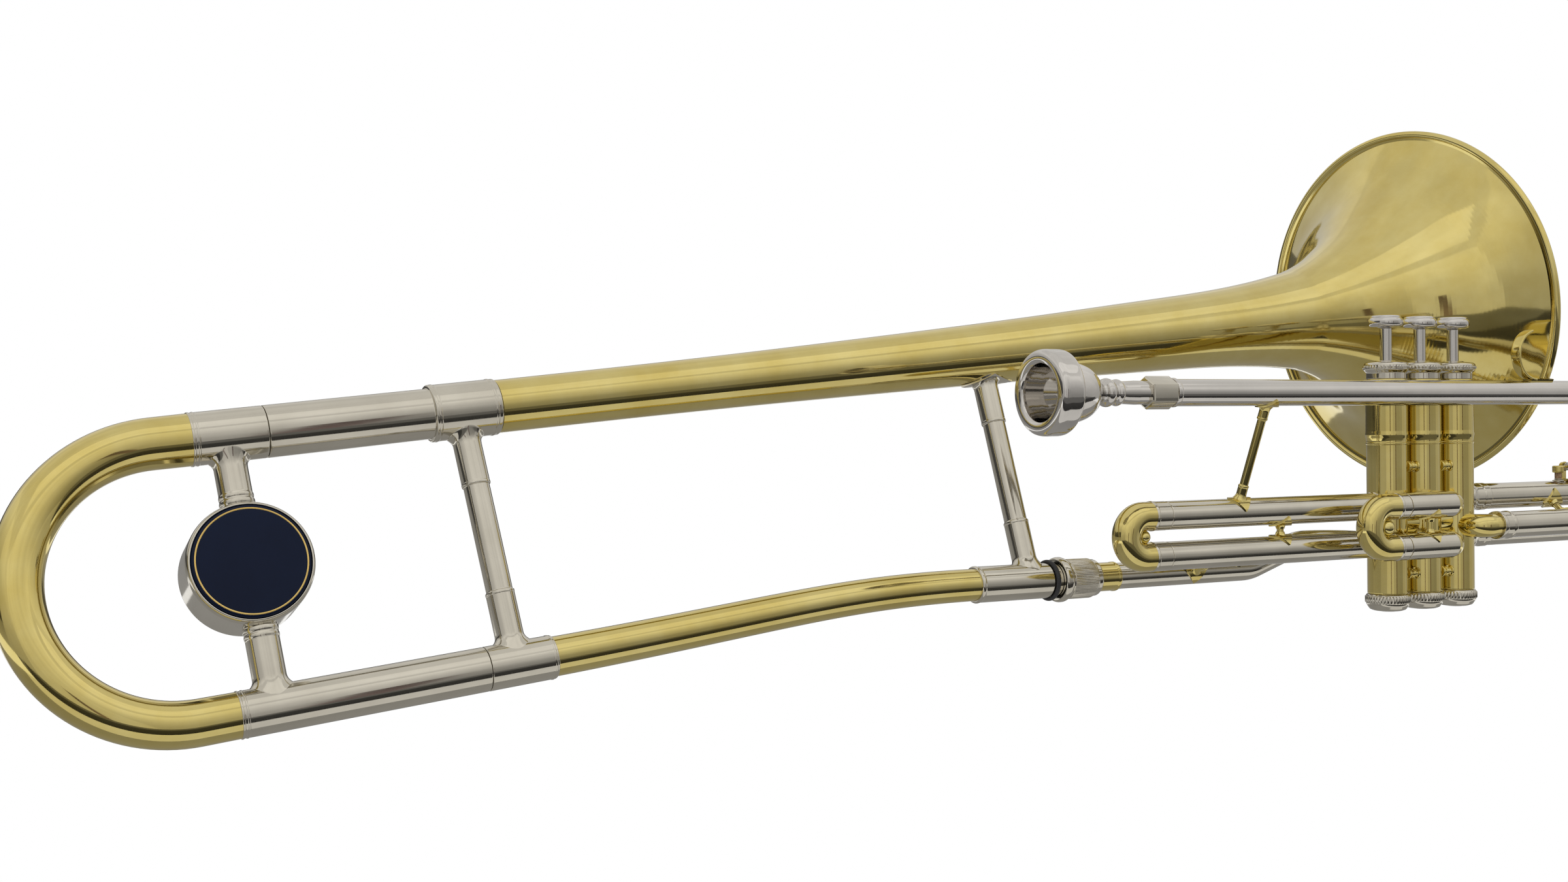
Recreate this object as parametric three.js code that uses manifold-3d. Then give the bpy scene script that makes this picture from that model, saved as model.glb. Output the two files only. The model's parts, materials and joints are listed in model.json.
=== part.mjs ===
// A valve trombone in lacquered brass and nickel silver, in millimetres.
// +X runs along the pipes toward the open mouth of the bell, and +Z up along the pistons.
// +Y points to the side where the bell hangs beside the valves.
// The origin lies on the axis of the middle valve, at the height of the leadpipe.

import * as THREE from 'three';
import { mergeVertices } from 'three/addons/utils/BufferGeometryUtils.js';
import Module from 'manifold-3d';

const wasm = await Module();
wasm.setup();

// Clearances, walls and cutting overruns shared by all pieces.
const seatGap = 0.3;
const slideGap = 0.3;
const turnGap = 0.35;
const buriedDepth = 0.4;
const cutOverrun = 6;
const weldDistance = 0.00001;
const ringHeight = 0.45;

// Facet counts.
const bellSides = 26;
const casingSides = 20;
const pipeSides = 14;
const boreSides = 8;
const rodSides = 8;
const bowSteps = 8;
const elbowSteps = 4;
const knurlCount = 12;
const passageSides = 6;

// The bell, measured along its own axis back from the rim.
const bellRimRadius = 105.1;
const bellLength = 578.3;
const bellWall = 1.1;
const bellBeadRadius = 2.1;
const bellMouthAt = { x: 87.2, y: 87.05, z: 53.5 };
const bellSwing = THREE.MathUtils.degToRad(1.65);
const bellRise = THREE.MathUtils.degToRad(5.71);
const bellRoll = THREE.MathUtils.degToRad(-18.81);
// Distance back from the rim as a share of the length, and radius as a share of the rim's.
const bellOutlineShares = [
  [0.0036, 0.9608],
  [0.0107, 0.8873],
  [0.0214, 0.7941],
  [0.0356, 0.6961],
  [0.0534, 0.6029],
  [0.0712, 0.5196],
  [0.089, 0.451],
  [0.1069, 0.3951],
  [0.1247, 0.3471],
  [0.1425, 0.3088],
  [0.1603, 0.2794],
  [0.1781, 0.2598],
  [0.2226, 0.2275],
  [0.285, 0.201],
  [0.3918, 0.1784],
  [0.5254, 0.1529],
  [0.7248, 0.1275],
  [0.8673, 0.1157],
  [1, 0.1108],
];

// The tuning slide behind the bell. Each place is a distance behind the bell's tail,
// and is then counted back from the bell's rim.
const tuningSpacing = 112.7;
const bowBehindTail = 143.7;
const bowRingBehindTail = 129.1;
const jointBehindTail = 99.3;
const legFrontBehindTail = 17.7;
const upperCollarBehindTail = 30.1;
const tailShown = 0.3;
const sleeveFrontBehindTail = 29;
const maleTubeBehindTail = 121.7;
const lowerCollarPastTail = 0.4;
const tuningBowBack = bellLength + bowBehindTail;
const tuningBowRadius = 9.8;
const tuningBore = 8.1;
const tuningBowRingBack = bellLength + bowRingBehindTail;
const tuningJointBack = bellLength + jointBehindTail;
const tuningTubeRadius = 10.85;
const tuningTubeWall = 0.8;
const tuningLegFrontBack = bellLength + legFrontBehindTail;
const tuningLegWall = 0.75;
const upperCollarBack = bellLength + upperCollarBehindTail;
const upperCollarFront = bellLength + tailShown;
const upperCollarRadius = 12.5;
const collarSocketDepth = 15;
const sleeveRadius = 9.2;
const sleeveFrontBack = bellLength + sleeveFrontBehindTail;
const maleTubeBack = bellLength + maleTubeBehindTail;
const maleTubeWall = 0.75;
const lowerCollarRadius = 9.3;
const lowerCollarFront = bellLength - lowerCollarPastTail;

// The brace behind the bell and the one beside the mouthpiece.
const rearBraceBehindTail = 16;
const rearBraceBack = bellLength + rearBraceBehindTail;
const braceSocketRadius = 6.1;
const braceRodRadius = 5.6;
const braceSocketLength = 22;
const braceFlareRadius = 8.2;
const braceFlareHeight = 3.2;
const bellBraceBack = 318.3;
const bellBraceFootAlong = -226.5;

// The balance weight between the legs of the tuning slide.
const weightBehindTail = 115;
const weightBack = bellLength + weightBehindTail;
const weightDownShare = 0.488;
const weightDown = tuningSpacing * weightDownShare;
const weightRadius = 24.5;
const weightThickness = 27;
const weightSetBack = 4.25;
const weightEdgeRound = 1.6;
const badgeRadius = 22;
const badgeThickness = 1.6;
const badgeRecess = 1.7;
const stemBehindTail = 114.9;
const stemBack = bellLength + stemBehindTail;
const stemRadius = 7;
const stemWaistRadius = 6.7;
const stemFlareRadius = 8.2;
const stemFlareHeight = 3;

// The neckpipe and the joint between the bell section and the valve section.
const neckpipeRadius = 7.9;
const neckpipeBore = 7.1;
const neckRearHandle = 113;
const neckFrontHandle = 77;
const neckSteps = 10;
const receiverSide = 39.9;
const receiverHeight = -91.65;
const receiverRear = -259.3;
const receiverFront = -216.6;
const receiverRadius = 8.8;
const receiverSocketDepth = 12;
const receiverNeckRadius = 8.1;
const receiverNeckFront = -205;
const oRingRadius = 10.2;
const oRingLength = 2.6;
const lockNutRear = -211.1;
const lockNutFront = -186.9;
const lockNutBeadRadius = 11.2;
const lockNutBeadLength = 5;
const lockNutBodyRadius = 9.95;
const lockNutCollarLength = 4;
const lockNutKnurlDepth = 0.35;
const exitSleeveRear = -246;
const exitSleeveRadius = 7.2;
const exitSleeveFront = -174.4;
const exitTubeRadius = 6.6;
const exitTubeBore = 5.8;
const exitRiseStart = -90;
const exitRiseRadius = 30;
const exitElbowRadius = 20;
const exitPortHeight = -80;
const exitBraceAlong = -126;

// The three valves.
const valvePitch = 24.94;
const casingRadius = 10.2;
const casingTopRadius = 10.45;
const casingBottom = -105.3;
const casingTop = 7.5;
const casingSeam = -26;
const casingBore = 8.9;
const casingNeckRadius = 9.6;
const casingNeckLength = 6.4;
const portBore = 5.6;
const linkHeight = -68;
const linkRadius = 6.4;
const shelfTop = -18.5;
const shelfThickness = 2;
const shelfBore = 5.2;
const spacerRadius = 2;
const spacerHeights = [-38.6, -95];
const spacerSide = -4.5;
const topCapRadius = 11.9;
const topCapTop = 17.2;
const topCapDomeRadius = 10.6;
const topCapKnurlHeight = 5.2;
const capKnurlDepth = 0.45;
const capRoof = 2.4;
const bottomCapRadius = 11.5;
const bottomCapBottom = -114.5;
const bottomCapFloor = 2.3;
const bottomCapDomeRadius = 9.4;
const bottomCapKnurlHeight = 5.4;
const bottomCapVent = 2;
const pistonRadius = 8.6;
const pistonTop = -24;
const pistonBottom = -94;
const pistonRodRadius = 4;
const pistonTravel = 16.5;
const pistonPlateRadius = 8.4;
const pistonPlateBottom = 8.3;
const pistonPlateThickness = 1.7;
const feltRadius = 6;
const stemPinRadius = 3;
const stemPegRadius = 1.6;
const stemPegLength = 3;
const passageBore = 3.4;
const buttonRadius = 8.85;
const buttonBottom = 34.4;
const buttonHeight = 6.6;
const buttonRound = 1.9;
const springRadius = 6.5;
const springWire = 0.5;
const springCurlCount = 4;
const curlSteps = 8;
const wireSides = 5;

// The leadpipe, its receiver and the mouthpiece.
const leadpipeSide = -17.45;
const leadpipeRadius = 6.5;
const leadpipeBore = 5.85;
const leadpipeRear = -185.2;
const hexRear = -200.5;
const hexAcrossFlats = 13.8;
const hexBore = 6.15;
const hexChamfer = 1;
const mouthpieceRimFront = -262;
const mouthpieceRimRadius = 20;
const mouthpieceRimLength = 12.7;
const mouthpieceCupRadius = 14.6;
const mouthpieceInnerRadius = 13;
const mouthpieceLength = 82;
const mouthpieceCupDepth = 24;
const mouthpieceThroat = 2.8;
const mouthpieceBackbore = 4.2;
const mouthpieceShankRadius = 5.8;
const mouthpieceShankTipRadius = 5.3;
const mouthpieceNeckRadius = 4.4;
const mouthpieceBulbRadius = 6.7;
const mouthpieceRingRadius = 6.3;

// The front crook and the pipe that brings the air back to the valves.
const crookJoint = 366;
const crookFerruleLength = 12;
const crookFerruleThickness = 0.7;
const returnHeight = -70.8;
const returnRadius = 7;
const returnBore = 6.1;
const returnFerruleRear = 36;
const returnFerruleFront = 45.6;
const returnFerruleRadius = 7.5;
const returnElbowRadius = 6.2;
const returnElbowBore = 5;
const returnStrutAlong = 97;

// The three valve slides.
const legRadius = 7.02;
const legBore = 6.35;
const innerLegRadius = 6.05;
const innerLegBore = 5.35;
const slide1UpperHeight = -59.3;
const slide1LowerHeight = -79;
const slide1OuterEnd = -174.5;
const slide1FerruleEnd = -184.2;
const slide1BowCentre = -188.1;
const slide1InnerEnd = -70;
const slide1BraceAlong = -100;
const ferruleRadius = 7.35;
const crotchBallBury = 0.6;
const slide2Side = -23.5;
const slide2LegRadius = 6.6;
const slide2LegBore = 5.95;
const slide2InnerRadius = 5.65;
const slide2InnerBore = 4.95;
const slide2UpperHeight = -58;
const slide2LowerHeight = -79;
const slide2ElbowRadius = 7.4;
const slide2OuterEnd = -38.8;
const slide2FerruleEnd = -45.8;
const slide2BowCentre = -51.9;
const slide2InnerEnd = -10;
const slide2BraceAlong = -20;
const slide2FerruleRadius = 6.9;
const slide3UpperHeight = -56.2;
const slide3LowerHeight = -76;
const slide3RingAlong = 42;
const slide3RingLength = 5;
const slide3OuterEnd = 175;
const slide3FerruleEnd = 184.7;
const slide3BowCentre = 188.6;
const slide3InnerEnd = 70;

// Struts with diamond feet.
const strutRadius = 2.15;
const strutSocketRadius = 2.6;
const strutSocketLength = 7;
const diamondHalfLength = 7.5;
const diamondHalfWidth = 6.7;
const diamondThickness = 0.9;
const shortStrutRadius = 1.9;
const leadpipeBraceTopAlong = -123;
const leadpipeBraceFootAlong = -129;

// The finger hook on top of the leadpipe.
const hookFootRear = 62;
const hookFootFront = 79.4;
const hookFootThickness = 1.3;
const hookCentreAlong = 66.5;
const hookCurlRadius = 13.2;
const hookBandThickness = 1.8;
const hookBandWidth = 8;
const hookTipAngle = THREE.MathUtils.degToRad(78);
const hookSteps = 14;

// The water key on top of the third slide.
const drainAlong = 108.5;
const drainRadius = 2.3;
const drainBore = 1.2;
const drainTop = -47.9;
const corkRadius = 1.9;
const corkTop = -43;
const keyCupRadius = 3.1;
const keyCupBottom = -44.6;
const keyBarTop = -40.7;
const keyBarThickness = 1.3;
const keyBarWidth = 7.6;
const keyCupReach = 9.5;
const keyPinAlong = drainAlong + keyCupReach;
const keyPinHeight = -41.3;
const keyPinRadius = 1;
const keyCheekRadius = 2.7;
const keyWindowWidth = 5.4;
const keyWindowHalfLength = 3.7;
const keyPadReach = 17;
const keyPadAlong = keyPinAlong + keyPadReach;
const keyPadRadius = 5.6;
const keyPadThickness = 1.5;
const bracketHalfLength = 4.4;
const bracketHalfWidth = 6.2;
const bracketPlateThickness = 1.1;
const bracketEarThickness = 1.3;
const bracketEarRadius = 2.4;
const keySpringRadius = 2;
const keySpringWire = 0.36;
const keySpringPitch = 1.25;
const keySpringCurlCount = 3;

// Materials. Every piece gets a material of its own from these finishes.
const brassFinish = { color: 0xc9a24c, roughness: 0.18, metalness: 1 };
const nickelFinish = { color: 0xc9c4b8, roughness: 0.2, metalness: 1 };
const silverFinish = { color: 0xd9d8d4, roughness: 0.14, metalness: 1 };
const steelFinish = { color: 0x8f9194, roughness: 0.35, metalness: 1 };
const rubberFinish = { color: 0x17171a, roughness: 0.6, metalness: 0 };
const corkFinish = { color: 0xa9825a, roughness: 0.85, metalness: 0 };
const enamelFinish = { color: 0x0c1430, roughness: 0.15, metalness: 0 };

const axisX = new THREE.Vector3(1, 0, 0);
const axisY = new THREE.Vector3(0, 1, 0);
const axisZ = new THREE.Vector3(0, 0, 1);
const towardPlayer = axisX.clone().negate();
const towardNear = axisY.clone().negate();
const downward = axisZ.clone().negate();

function at(x, y, z) {
  return new THREE.Vector3(x, y, z);
}

// The geometry with its shared vertices joined, its empty triangles dropped and its faces out.
function closedGeometry(geometry) {
  const bare = new THREE.BufferGeometry();
  bare.setAttribute('position', geometry.getAttribute('position').clone());
  if (geometry.index) {
    bare.setIndex(Array.from(geometry.index.array));
  }
  const joined = mergeVertices(bare, weldDistance);
  const corners = joined.index.array;
  const kept = [];
  for (let i = 0; i < corners.length; i += 3) {
    const [a, b, c] = [corners[i], corners[i + 1], corners[i + 2]];
    if (a !== b && b !== c && c !== a) {
      kept.push(a, b, c);
    }
  }
  const points = joined.getAttribute('position');
  const [p, q, r] = [new THREE.Vector3(), new THREE.Vector3(), new THREE.Vector3()];
  let volume = 0;
  for (let i = 0; i < kept.length; i += 3) {
    p.fromBufferAttribute(points, kept[i]);
    q.fromBufferAttribute(points, kept[i + 1]);
    r.fromBufferAttribute(points, kept[i + 2]);
    volume += p.dot(q.cross(r));
  }
  if (volume < 0) {
    for (let i = 0; i < kept.length; i += 3) {
      [kept[i + 1], kept[i + 2]] = [kept[i + 2], kept[i + 1]];
    }
  }
  joined.setIndex(kept);
  return joined;
}

function solidOf(geometry, placement = new THREE.Matrix4()) {
  const closed = closedGeometry(geometry).applyMatrix4(placement);
  return new wasm.Manifold(new wasm.Mesh({
    numProp: 3,
    vertProperties: new Float32Array(closed.getAttribute('position').array),
    triVerts: new Uint32Array(closed.index.array),
  }));
}

function joinAll(solids) {
  return solids.reduce((whole, next) => whole.add(next));
}

function cutAll(solid, tools) {
  return tools.reduce((rest, tool) => rest.subtract(tool), solid);
}

function piece(name, solid, finish) {
  const mesh = solid.getMesh();
  const geometry = new THREE.BufferGeometry();
  const places = [];
  for (let i = 0; i < mesh.vertProperties.length; i += mesh.numProp) {
    places.push(mesh.vertProperties[i], mesh.vertProperties[i + 1], mesh.vertProperties[i + 2]);
  }
  geometry.setAttribute('position', new THREE.Float32BufferAttribute(places, 3));
  geometry.setIndex(Array.from(mesh.triVerts));
  const shown = new THREE.Mesh(geometry, new THREE.MeshStandardMaterial(finish));
  shown.name = name;
  return shown;
}

// Turned body about the line from a start toward a heading; the profile lists [along, radius].
function turned(profile, start, heading, sides = pipeSides) {
  const points = profile.map(([along, radius]) => new THREE.Vector2(radius, along));
  const turn = new THREE.Quaternion().setFromUnitVectors(axisY, heading.clone().normalize());
  const placement = new THREE.Matrix4().makeRotationFromQuaternion(turn).setPosition(start);
  return solidOf(new THREE.LatheGeometry(points, sides), placement);
}

function rod(from, to, radius, sides = rodSides) {
  const length = to.clone().sub(from).length();
  const profile = [[0, 0], [0, radius], [length, radius], [length, 0]];
  return turned(profile, from, to.clone().sub(from), sides);
}

// A rod whose flats, not corners, lie at the radius, so that a cut clears a round neighbour.
function clearRod(from, to, radius, sides = casingSides) {
  return rod(from, to, radius / Math.cos(Math.PI / sides), sides);
}

function pipeBetween(from, to, radius, bore, sides = pipeSides) {
  const length = to.clone().sub(from).length();
  const profile = [[0, bore], [0, radius], [length, radius], [length, bore], [0, bore]];
  return turned(profile, from, to.clone().sub(from), sides);
}

function ball(centre, radius, sides = rodSides) {
  const placement = new THREE.Matrix4().setPosition(centre);
  return solidOf(new THREE.SphereGeometry(radius, sides, sides / 2), placement);
}

function blockBetween(low, high) {
  const size = high.clone().sub(low);
  const placement = new THREE.Matrix4().setPosition(low.clone().add(high).multiplyScalar(0.5));
  return solidOf(new THREE.BoxGeometry(size.x, size.y, size.z), placement);
}

// A route that is drawn like a plotted line: straight runs and round bends, one after another.
class Route extends THREE.Curve {
  constructor(start, heading) {
    super();
    this.stops = [start.clone()];
    this.headings = [heading.clone().normalize()];
  }

  get end() {
    return this.stops[this.stops.length - 1];
  }

  get heading() {
    return this.headings[this.headings.length - 1];
  }

  get steps() {
    return this.stops.length - 1;
  }

  pass(stop, heading) {
    this.stops.push(stop.clone());
    this.headings.push(heading.clone().normalize());
    return this;
  }

  straight(length) {
    return this.pass(this.end.clone().addScaledVector(this.heading, length), this.heading);
  }

  bend(axis, angle, radius, steps = elbowSteps) {
    const from = this.heading.clone();
    const inward = axis.clone().cross(from).normalize();
    const centre = this.end.clone().addScaledVector(inward, radius);
    for (let i = 1; i <= steps; i += 1) {
      const turn = (angle * i) / steps;
      const heading = from.clone().applyAxisAngle(axis, turn);
      const spoke = inward.clone().applyAxisAngle(axis, turn);
      this.pass(centre.clone().addScaledVector(spoke, -radius), heading);
    }
    return this;
  }

  follow(curve, steps) {
    for (let i = 1; i <= steps; i += 1) {
      this.pass(curve.getPoint(i / steps), curve.getTangent(i / steps));
    }
    return this;
  }

  getPointAt(share, target = new THREE.Vector3()) {
    return target.copy(this.stops[Math.round(share * this.steps)]);
  }

  getPoint(share, target) {
    return this.getPointAt(share, target);
  }

  getTangentAt(share, target = new THREE.Vector3()) {
    return target.copy(this.headings[Math.round(share * this.steps)]);
  }
}

function circle(radius, sides) {
  const points = [];
  for (let i = 0; i < sides; i += 1) {
    const turn = (2 * Math.PI * i) / sides;
    points.push(new THREE.Vector2(radius * Math.cos(turn), radius * Math.sin(turn)));
  }
  return points;
}

function swept(route, radius, sides = pipeSides) {
  const shape = new THREE.Shape(circle(radius, sides));
  const options = { steps: route.steps, extrudePath: route, bevelEnabled: false };
  return solidOf(new THREE.ExtrudeGeometry(shape, options));
}

// A hollow pipe along a route: a ring shape drawn along it.
function sweptPipe(route, radius, bore, sides = pipeSides) {
  const shape = new THREE.Shape(circle(radius, sides));
  shape.holes.push(new THREE.Path(circle(bore, sides).reverse()));
  const options = { steps: route.steps, extrudePath: route, bevelEnabled: false };
  return solidOf(new THREE.ExtrudeGeometry(shape, options));
}

// A line that a pipe's axis follows, with the pipe's outer radius.
function pipeLine(point, heading, radius) {
  return { point, heading: heading.clone().normalize(), radius };
}

function clearanceAround(pipe, reach = pipe.radius * 8) {
  const from = pipe.point.clone().addScaledVector(pipe.heading, -reach);
  const to = pipe.point.clone().addScaledVector(pipe.heading, reach);
  return clearRod(from, to, pipe.radius + seatGap);
}

// A thin diamond plate that wraps a pipe, facing the way that a strut leaves it.
function diamondFoot(pipe, outward) {
  const across = outward.clone().addScaledVector(pipe.heading, -outward.dot(pipe.heading)).normalize();
  const outline = new THREE.Shape([
    new THREE.Vector2(diamondHalfLength, 0),
    new THREE.Vector2(0, diamondHalfWidth),
    new THREE.Vector2(-diamondHalfLength, 0),
    new THREE.Vector2(0, -diamondHalfWidth),
  ]);
  const prism = new THREE.ExtrudeGeometry(outline, { depth: pipe.radius * 2, bevelEnabled: false });
  const sideways = across.clone().cross(pipe.heading);
  const placement = new THREE.Matrix4().makeBasis(pipe.heading, sideways, across).setPosition(pipe.point);
  const from = pipe.point.clone().addScaledVector(pipe.heading, -diamondHalfLength * 2);
  const to = pipe.point.clone().addScaledVector(pipe.heading, diamondHalfLength * 2);
  const shell = rod(from, to, pipe.radius + seatGap + diamondThickness, casingSides);
  return solidOf(prism, placement).intersect(shell);
}

// A strut from one pipe to another with diamond feet, its ends hollowed to sit on both.
function footedStrut(first, second, radius, socketRadius = 0, socketLength = 0) {
  const way = second.point.clone().sub(first.point).normalize();
  const parts = [rod(first.point, second.point, radius)];
  if (socketLength > 0) {
    const firstEnd = first.point.clone().addScaledVector(way, first.radius + socketLength);
    const secondEnd = second.point.clone().addScaledVector(way, -second.radius - socketLength);
    parts.push(rod(first.point, firstEnd, socketRadius));
    parts.push(rod(secondEnd, second.point, socketRadius));
  }
  parts.push(diamondFoot(first, way));
  parts.push(diamondFoot(second, way.clone().negate()));
  return cutAll(joinAll(parts), [clearanceAround(first), clearanceAround(second)]);
}

// Outline of a knurled ring: a circle with shallow teeth.
function toothedRing(radius, depth, length, start, heading) {
  const points = [];
  for (let i = 0; i < knurlCount * 2; i += 1) {
    const turn = (Math.PI * i) / knurlCount;
    const reach = i % 2 ? radius - depth : radius;
    points.push(new THREE.Vector2(reach * Math.cos(turn), reach * Math.sin(turn)));
  }
  const options = { depth: length, bevelEnabled: false };
  const turn = new THREE.Quaternion().setFromUnitVectors(axisZ, heading);
  const placement = new THREE.Matrix4().makeRotationFromQuaternion(turn).setPosition(start);
  return solidOf(new THREE.ExtrudeGeometry(new THREE.Shape(points), options), placement);
}

// A wound wire spring about an axis; the wire's least gap to itself is measured and printed.
function woundSpring(name, centre, heading, radius, wire, length, curls) {
  const turn = new THREE.Quaternion().setFromUnitVectors(axisZ, heading);
  const steps = curls * curlSteps;
  const climb = length / curls / (2 * Math.PI);
  const place = (angle) => at(radius * Math.cos(angle), radius * Math.sin(angle), climb * angle)
    .applyQuaternion(turn).add(centre);
  const aim = (angle) => at(-radius * Math.sin(angle), radius * Math.cos(angle), climb)
    .applyQuaternion(turn);
  const route = new Route(place(0), aim(0));
  for (let i = 1; i <= steps; i += 1) {
    const angle = (2 * Math.PI * i) / curlSteps;
    route.pass(place(angle), aim(angle));
  }
  let least = Infinity;
  for (let i = 0; i + curlSteps - 1 <= steps; i += 1) {
    for (let j = i + curlSteps - 1; j <= steps; j += 1) {
      least = Math.min(least, route.stops[i].distanceTo(route.stops[j]) - wire * 2);
    }
  }
  console.log(`${name}: least gap between its turns ${least.toFixed(2)} mm`);
  return swept(route, wire, wireSides);
}

// The bell section hangs in its own tilted frame, with its origin at the centre of the rim.
const bellSection = new THREE.Group();
bellSection.position.set(bellMouthAt.x, bellMouthAt.y, bellMouthAt.z);
bellSection.rotation.set(bellRoll, -bellRise, bellSwing, 'ZYX');
bellSection.updateMatrixWorld(true);

function bellPoint(back, down = 0, side = 0) {
  return at(-back, side, -down).applyMatrix4(bellSection.matrixWorld);
}

function bellHeading() {
  return axisX.clone().transformDirection(bellSection.matrixWorld);
}

const tailRadius = bellOutlineShares[bellOutlineShares.length - 1][1] * bellRimRadius;

// Radius of the bell's outside at a distance back from the rim.
function bellRadiusAt(back) {
  const share = back / bellLength;
  for (let i = 1; i < bellOutlineShares.length; i += 1) {
    const [nearBack, nearRadius] = bellOutlineShares[i - 1];
    const [farBack, farRadius] = bellOutlineShares[i];
    if (share <= farBack) {
      const mix = (share - nearBack) / (farBack - nearBack);
      return bellRimRadius * (nearRadius + mix * (farRadius - nearRadius));
    }
  }
  return tailRadius;
}

function makeBell() {
  const outside = bellOutlineShares.map(([back, radius]) => [-back * bellLength, radius * bellRimRadius]);
  outside.push([-bellLength - collarSocketDepth + seatGap * 3, tailRadius]);
  outside.reverse();
  const inside = outside.map(([along, radius], i) => {
    const before = outside[Math.max(i - 1, 0)];
    const after = outside[Math.min(i + 1, outside.length - 1)];
    const run = new THREE.Vector2(after[0] - before[0], after[1] - before[1]).normalize();
    return [along + run.y * bellWall, radius - run.x * bellWall];
  });
  inside[0][0] = outside[0][0];
  const bead = [];
  const beadCentre = [-bellBeadRadius, bellRimRadius - bellBeadRadius];
  for (let turn = -130; turn >= -400; turn -= 70) {
    const angle = THREE.MathUtils.degToRad(turn);
    bead.push([
      beadCentre[0] + bellBeadRadius * Math.cos(angle),
      beadCentre[1] + bellBeadRadius * Math.sin(angle),
    ]);
  }
  const lining = inside.reverse().filter((point, i) => i % 2 === 0 || i === inside.length - 1);
  const profile = [...outside, ...bead, ...lining, outside[0]];
  return piece('bell', turned(profile, at(0, 0, 0), axisX, bellSides), brassFinish);
}

// The fixed outer tube behind the bell, with the collar that takes the bell's tail.
function makeTuningReceiver() {
  const bore = tuningTubeRadius - tuningTubeWall;
  const socketRear = -upperCollarFront - collarSocketDepth;
  const profile = [
    [-tuningJointBack + seatGap, bore],
    [-tuningJointBack + seatGap, tuningTubeRadius],
    [-upperCollarBack, tuningTubeRadius],
    [-upperCollarBack, upperCollarRadius],
    [-upperCollarFront, upperCollarRadius],
    [-upperCollarFront, tailRadius + seatGap],
    [socketRear, tailRadius + seatGap],
    [socketRear, bore],
    [-tuningJointBack + seatGap, bore],
  ];
  return piece('tuning_receiver', turned(profile, at(0, 0, 0), axisX), nickelFinish);
}

// The lower collar with the inner tube over which the tuning slide's sleeve runs.
function makeNeckMaleTube() {
  const radius = sleeveRadius - tuningTubeWall - slideGap;
  const profile = [
    [-maleTubeBack, radius - maleTubeWall],
    [-maleTubeBack, radius],
    [-sleeveFrontBack + seatGap, radius],
    [-sleeveFrontBack + seatGap, lowerCollarRadius],
    [-lowerCollarFront, lowerCollarRadius],
    [-lowerCollarFront, neckpipeRadius + seatGap],
    [-lowerCollarFront - receiverSocketDepth, neckpipeRadius + seatGap],
    [-lowerCollarFront - receiverSocketDepth, radius - maleTubeWall],
    [-maleTubeBack, radius - maleTubeWall],
  ];
  return piece('neck_male_tube', turned(profile, at(0, 0, -tuningSpacing), axisX), nickelFinish);
}

// A brace of two flared sockets and a thinner rod between two pipes.
function flaredBrace(first, second, clearances) {
  const way = second.point.clone().sub(first.point);
  const length = way.length();
  const near = first.radius;
  const far = length - second.radius;
  const profile = [
    [0, 0],
    [0, braceFlareRadius],
    [near, braceFlareRadius],
    [near + braceFlareHeight, braceSocketRadius],
    [near + braceSocketLength - ringHeight, braceSocketRadius],
    [near + braceSocketLength, braceRodRadius],
    [far - braceSocketLength, braceRodRadius],
    [far - braceSocketLength + ringHeight, braceSocketRadius],
    [far - braceFlareHeight, braceSocketRadius],
    [far, braceFlareRadius],
    [length, braceFlareRadius],
    [length, 0],
  ];
  return cutAll(turned(profile, first.point, way, rodSides + 4), clearances);
}

function makeRearBrace() {
  const upper = pipeLine(at(-rearBraceBack, 0, 0), axisX, upperCollarRadius);
  const lower = pipeLine(at(-rearBraceBack, 0, -tuningSpacing), axisX, lowerCollarRadius);
  const brace = flaredBrace(upper, lower, [clearanceAround(upper), clearanceAround(lower)]);
  return piece('rear_brace', brace, nickelFinish);
}

// The moving tuning bow: one round bend that joins the two legs.
function makeTuningBow() {
  const run = tuningBowBack - tuningBowRingBack;
  const route = new Route(at(-tuningBowRingBack, 0, 0), towardPlayer)
    .straight(run)
    .bend(towardNear, Math.PI, tuningSpacing / 2, bowSteps + 4)
    .straight(run);
  return piece('tuning_bow', sweptPipe(route, tuningBowRadius, tuningBore), brassFinish);
}

function makeTuningLegUpper() {
  const inner = tuningTubeRadius - tuningTubeWall - slideGap;
  const bore = inner - tuningLegWall;
  const profile = [
    [-tuningBowRingBack + seatGap, bore],
    [-tuningBowRingBack + seatGap, tuningTubeRadius],
    [-tuningJointBack, tuningTubeRadius],
    [-tuningJointBack, inner],
    [-tuningLegFrontBack, inner],
    [-tuningLegFrontBack, bore],
    [-tuningBowRingBack + seatGap, bore],
  ];
  return piece('tuning_leg_upper', turned(profile, at(0, 0, 0), axisX), nickelFinish);
}

function makeTuningSleeveLower() {
  const start = at(-tuningBowRingBack + seatGap, 0, -tuningSpacing);
  const end = at(-sleeveFrontBack, 0, -tuningSpacing);
  const tube = pipeBetween(start, end, sleeveRadius, sleeveRadius - tuningTubeWall);
  return piece('tuning_sleeve_lower', tube, nickelFinish);
}

// A turned stem with flared ends between a leg of the tuning slide and the weight's edge.
function makeBalancerStem(name, pipe, weightEnd) {
  const way = weightEnd.clone().sub(pipe.point);
  const length = way.length();
  const profile = [
    [0, 0],
    [0, stemFlareRadius],
    [pipe.radius, stemFlareRadius],
    [pipe.radius + stemFlareHeight, stemRadius],
    [pipe.radius + stemFlareHeight * 3, stemWaistRadius],
    [length - weightRadius - stemFlareHeight, stemWaistRadius],
    [length - weightRadius, stemRadius],
    [length, stemRadius],
    [length, 0],
  ];
  const weightSpace = clearRod(
    at(-weightBack, -weightThickness, -weightDown),
    at(-weightBack, weightThickness, -weightDown),
    weightRadius + seatGap,
  );
  const stem = turned(profile, pipe.point, way, rodSides + 4);
  return piece(name, cutAll(stem, [clearanceAround(pipe), weightSpace]), nickelFinish);
}

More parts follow.
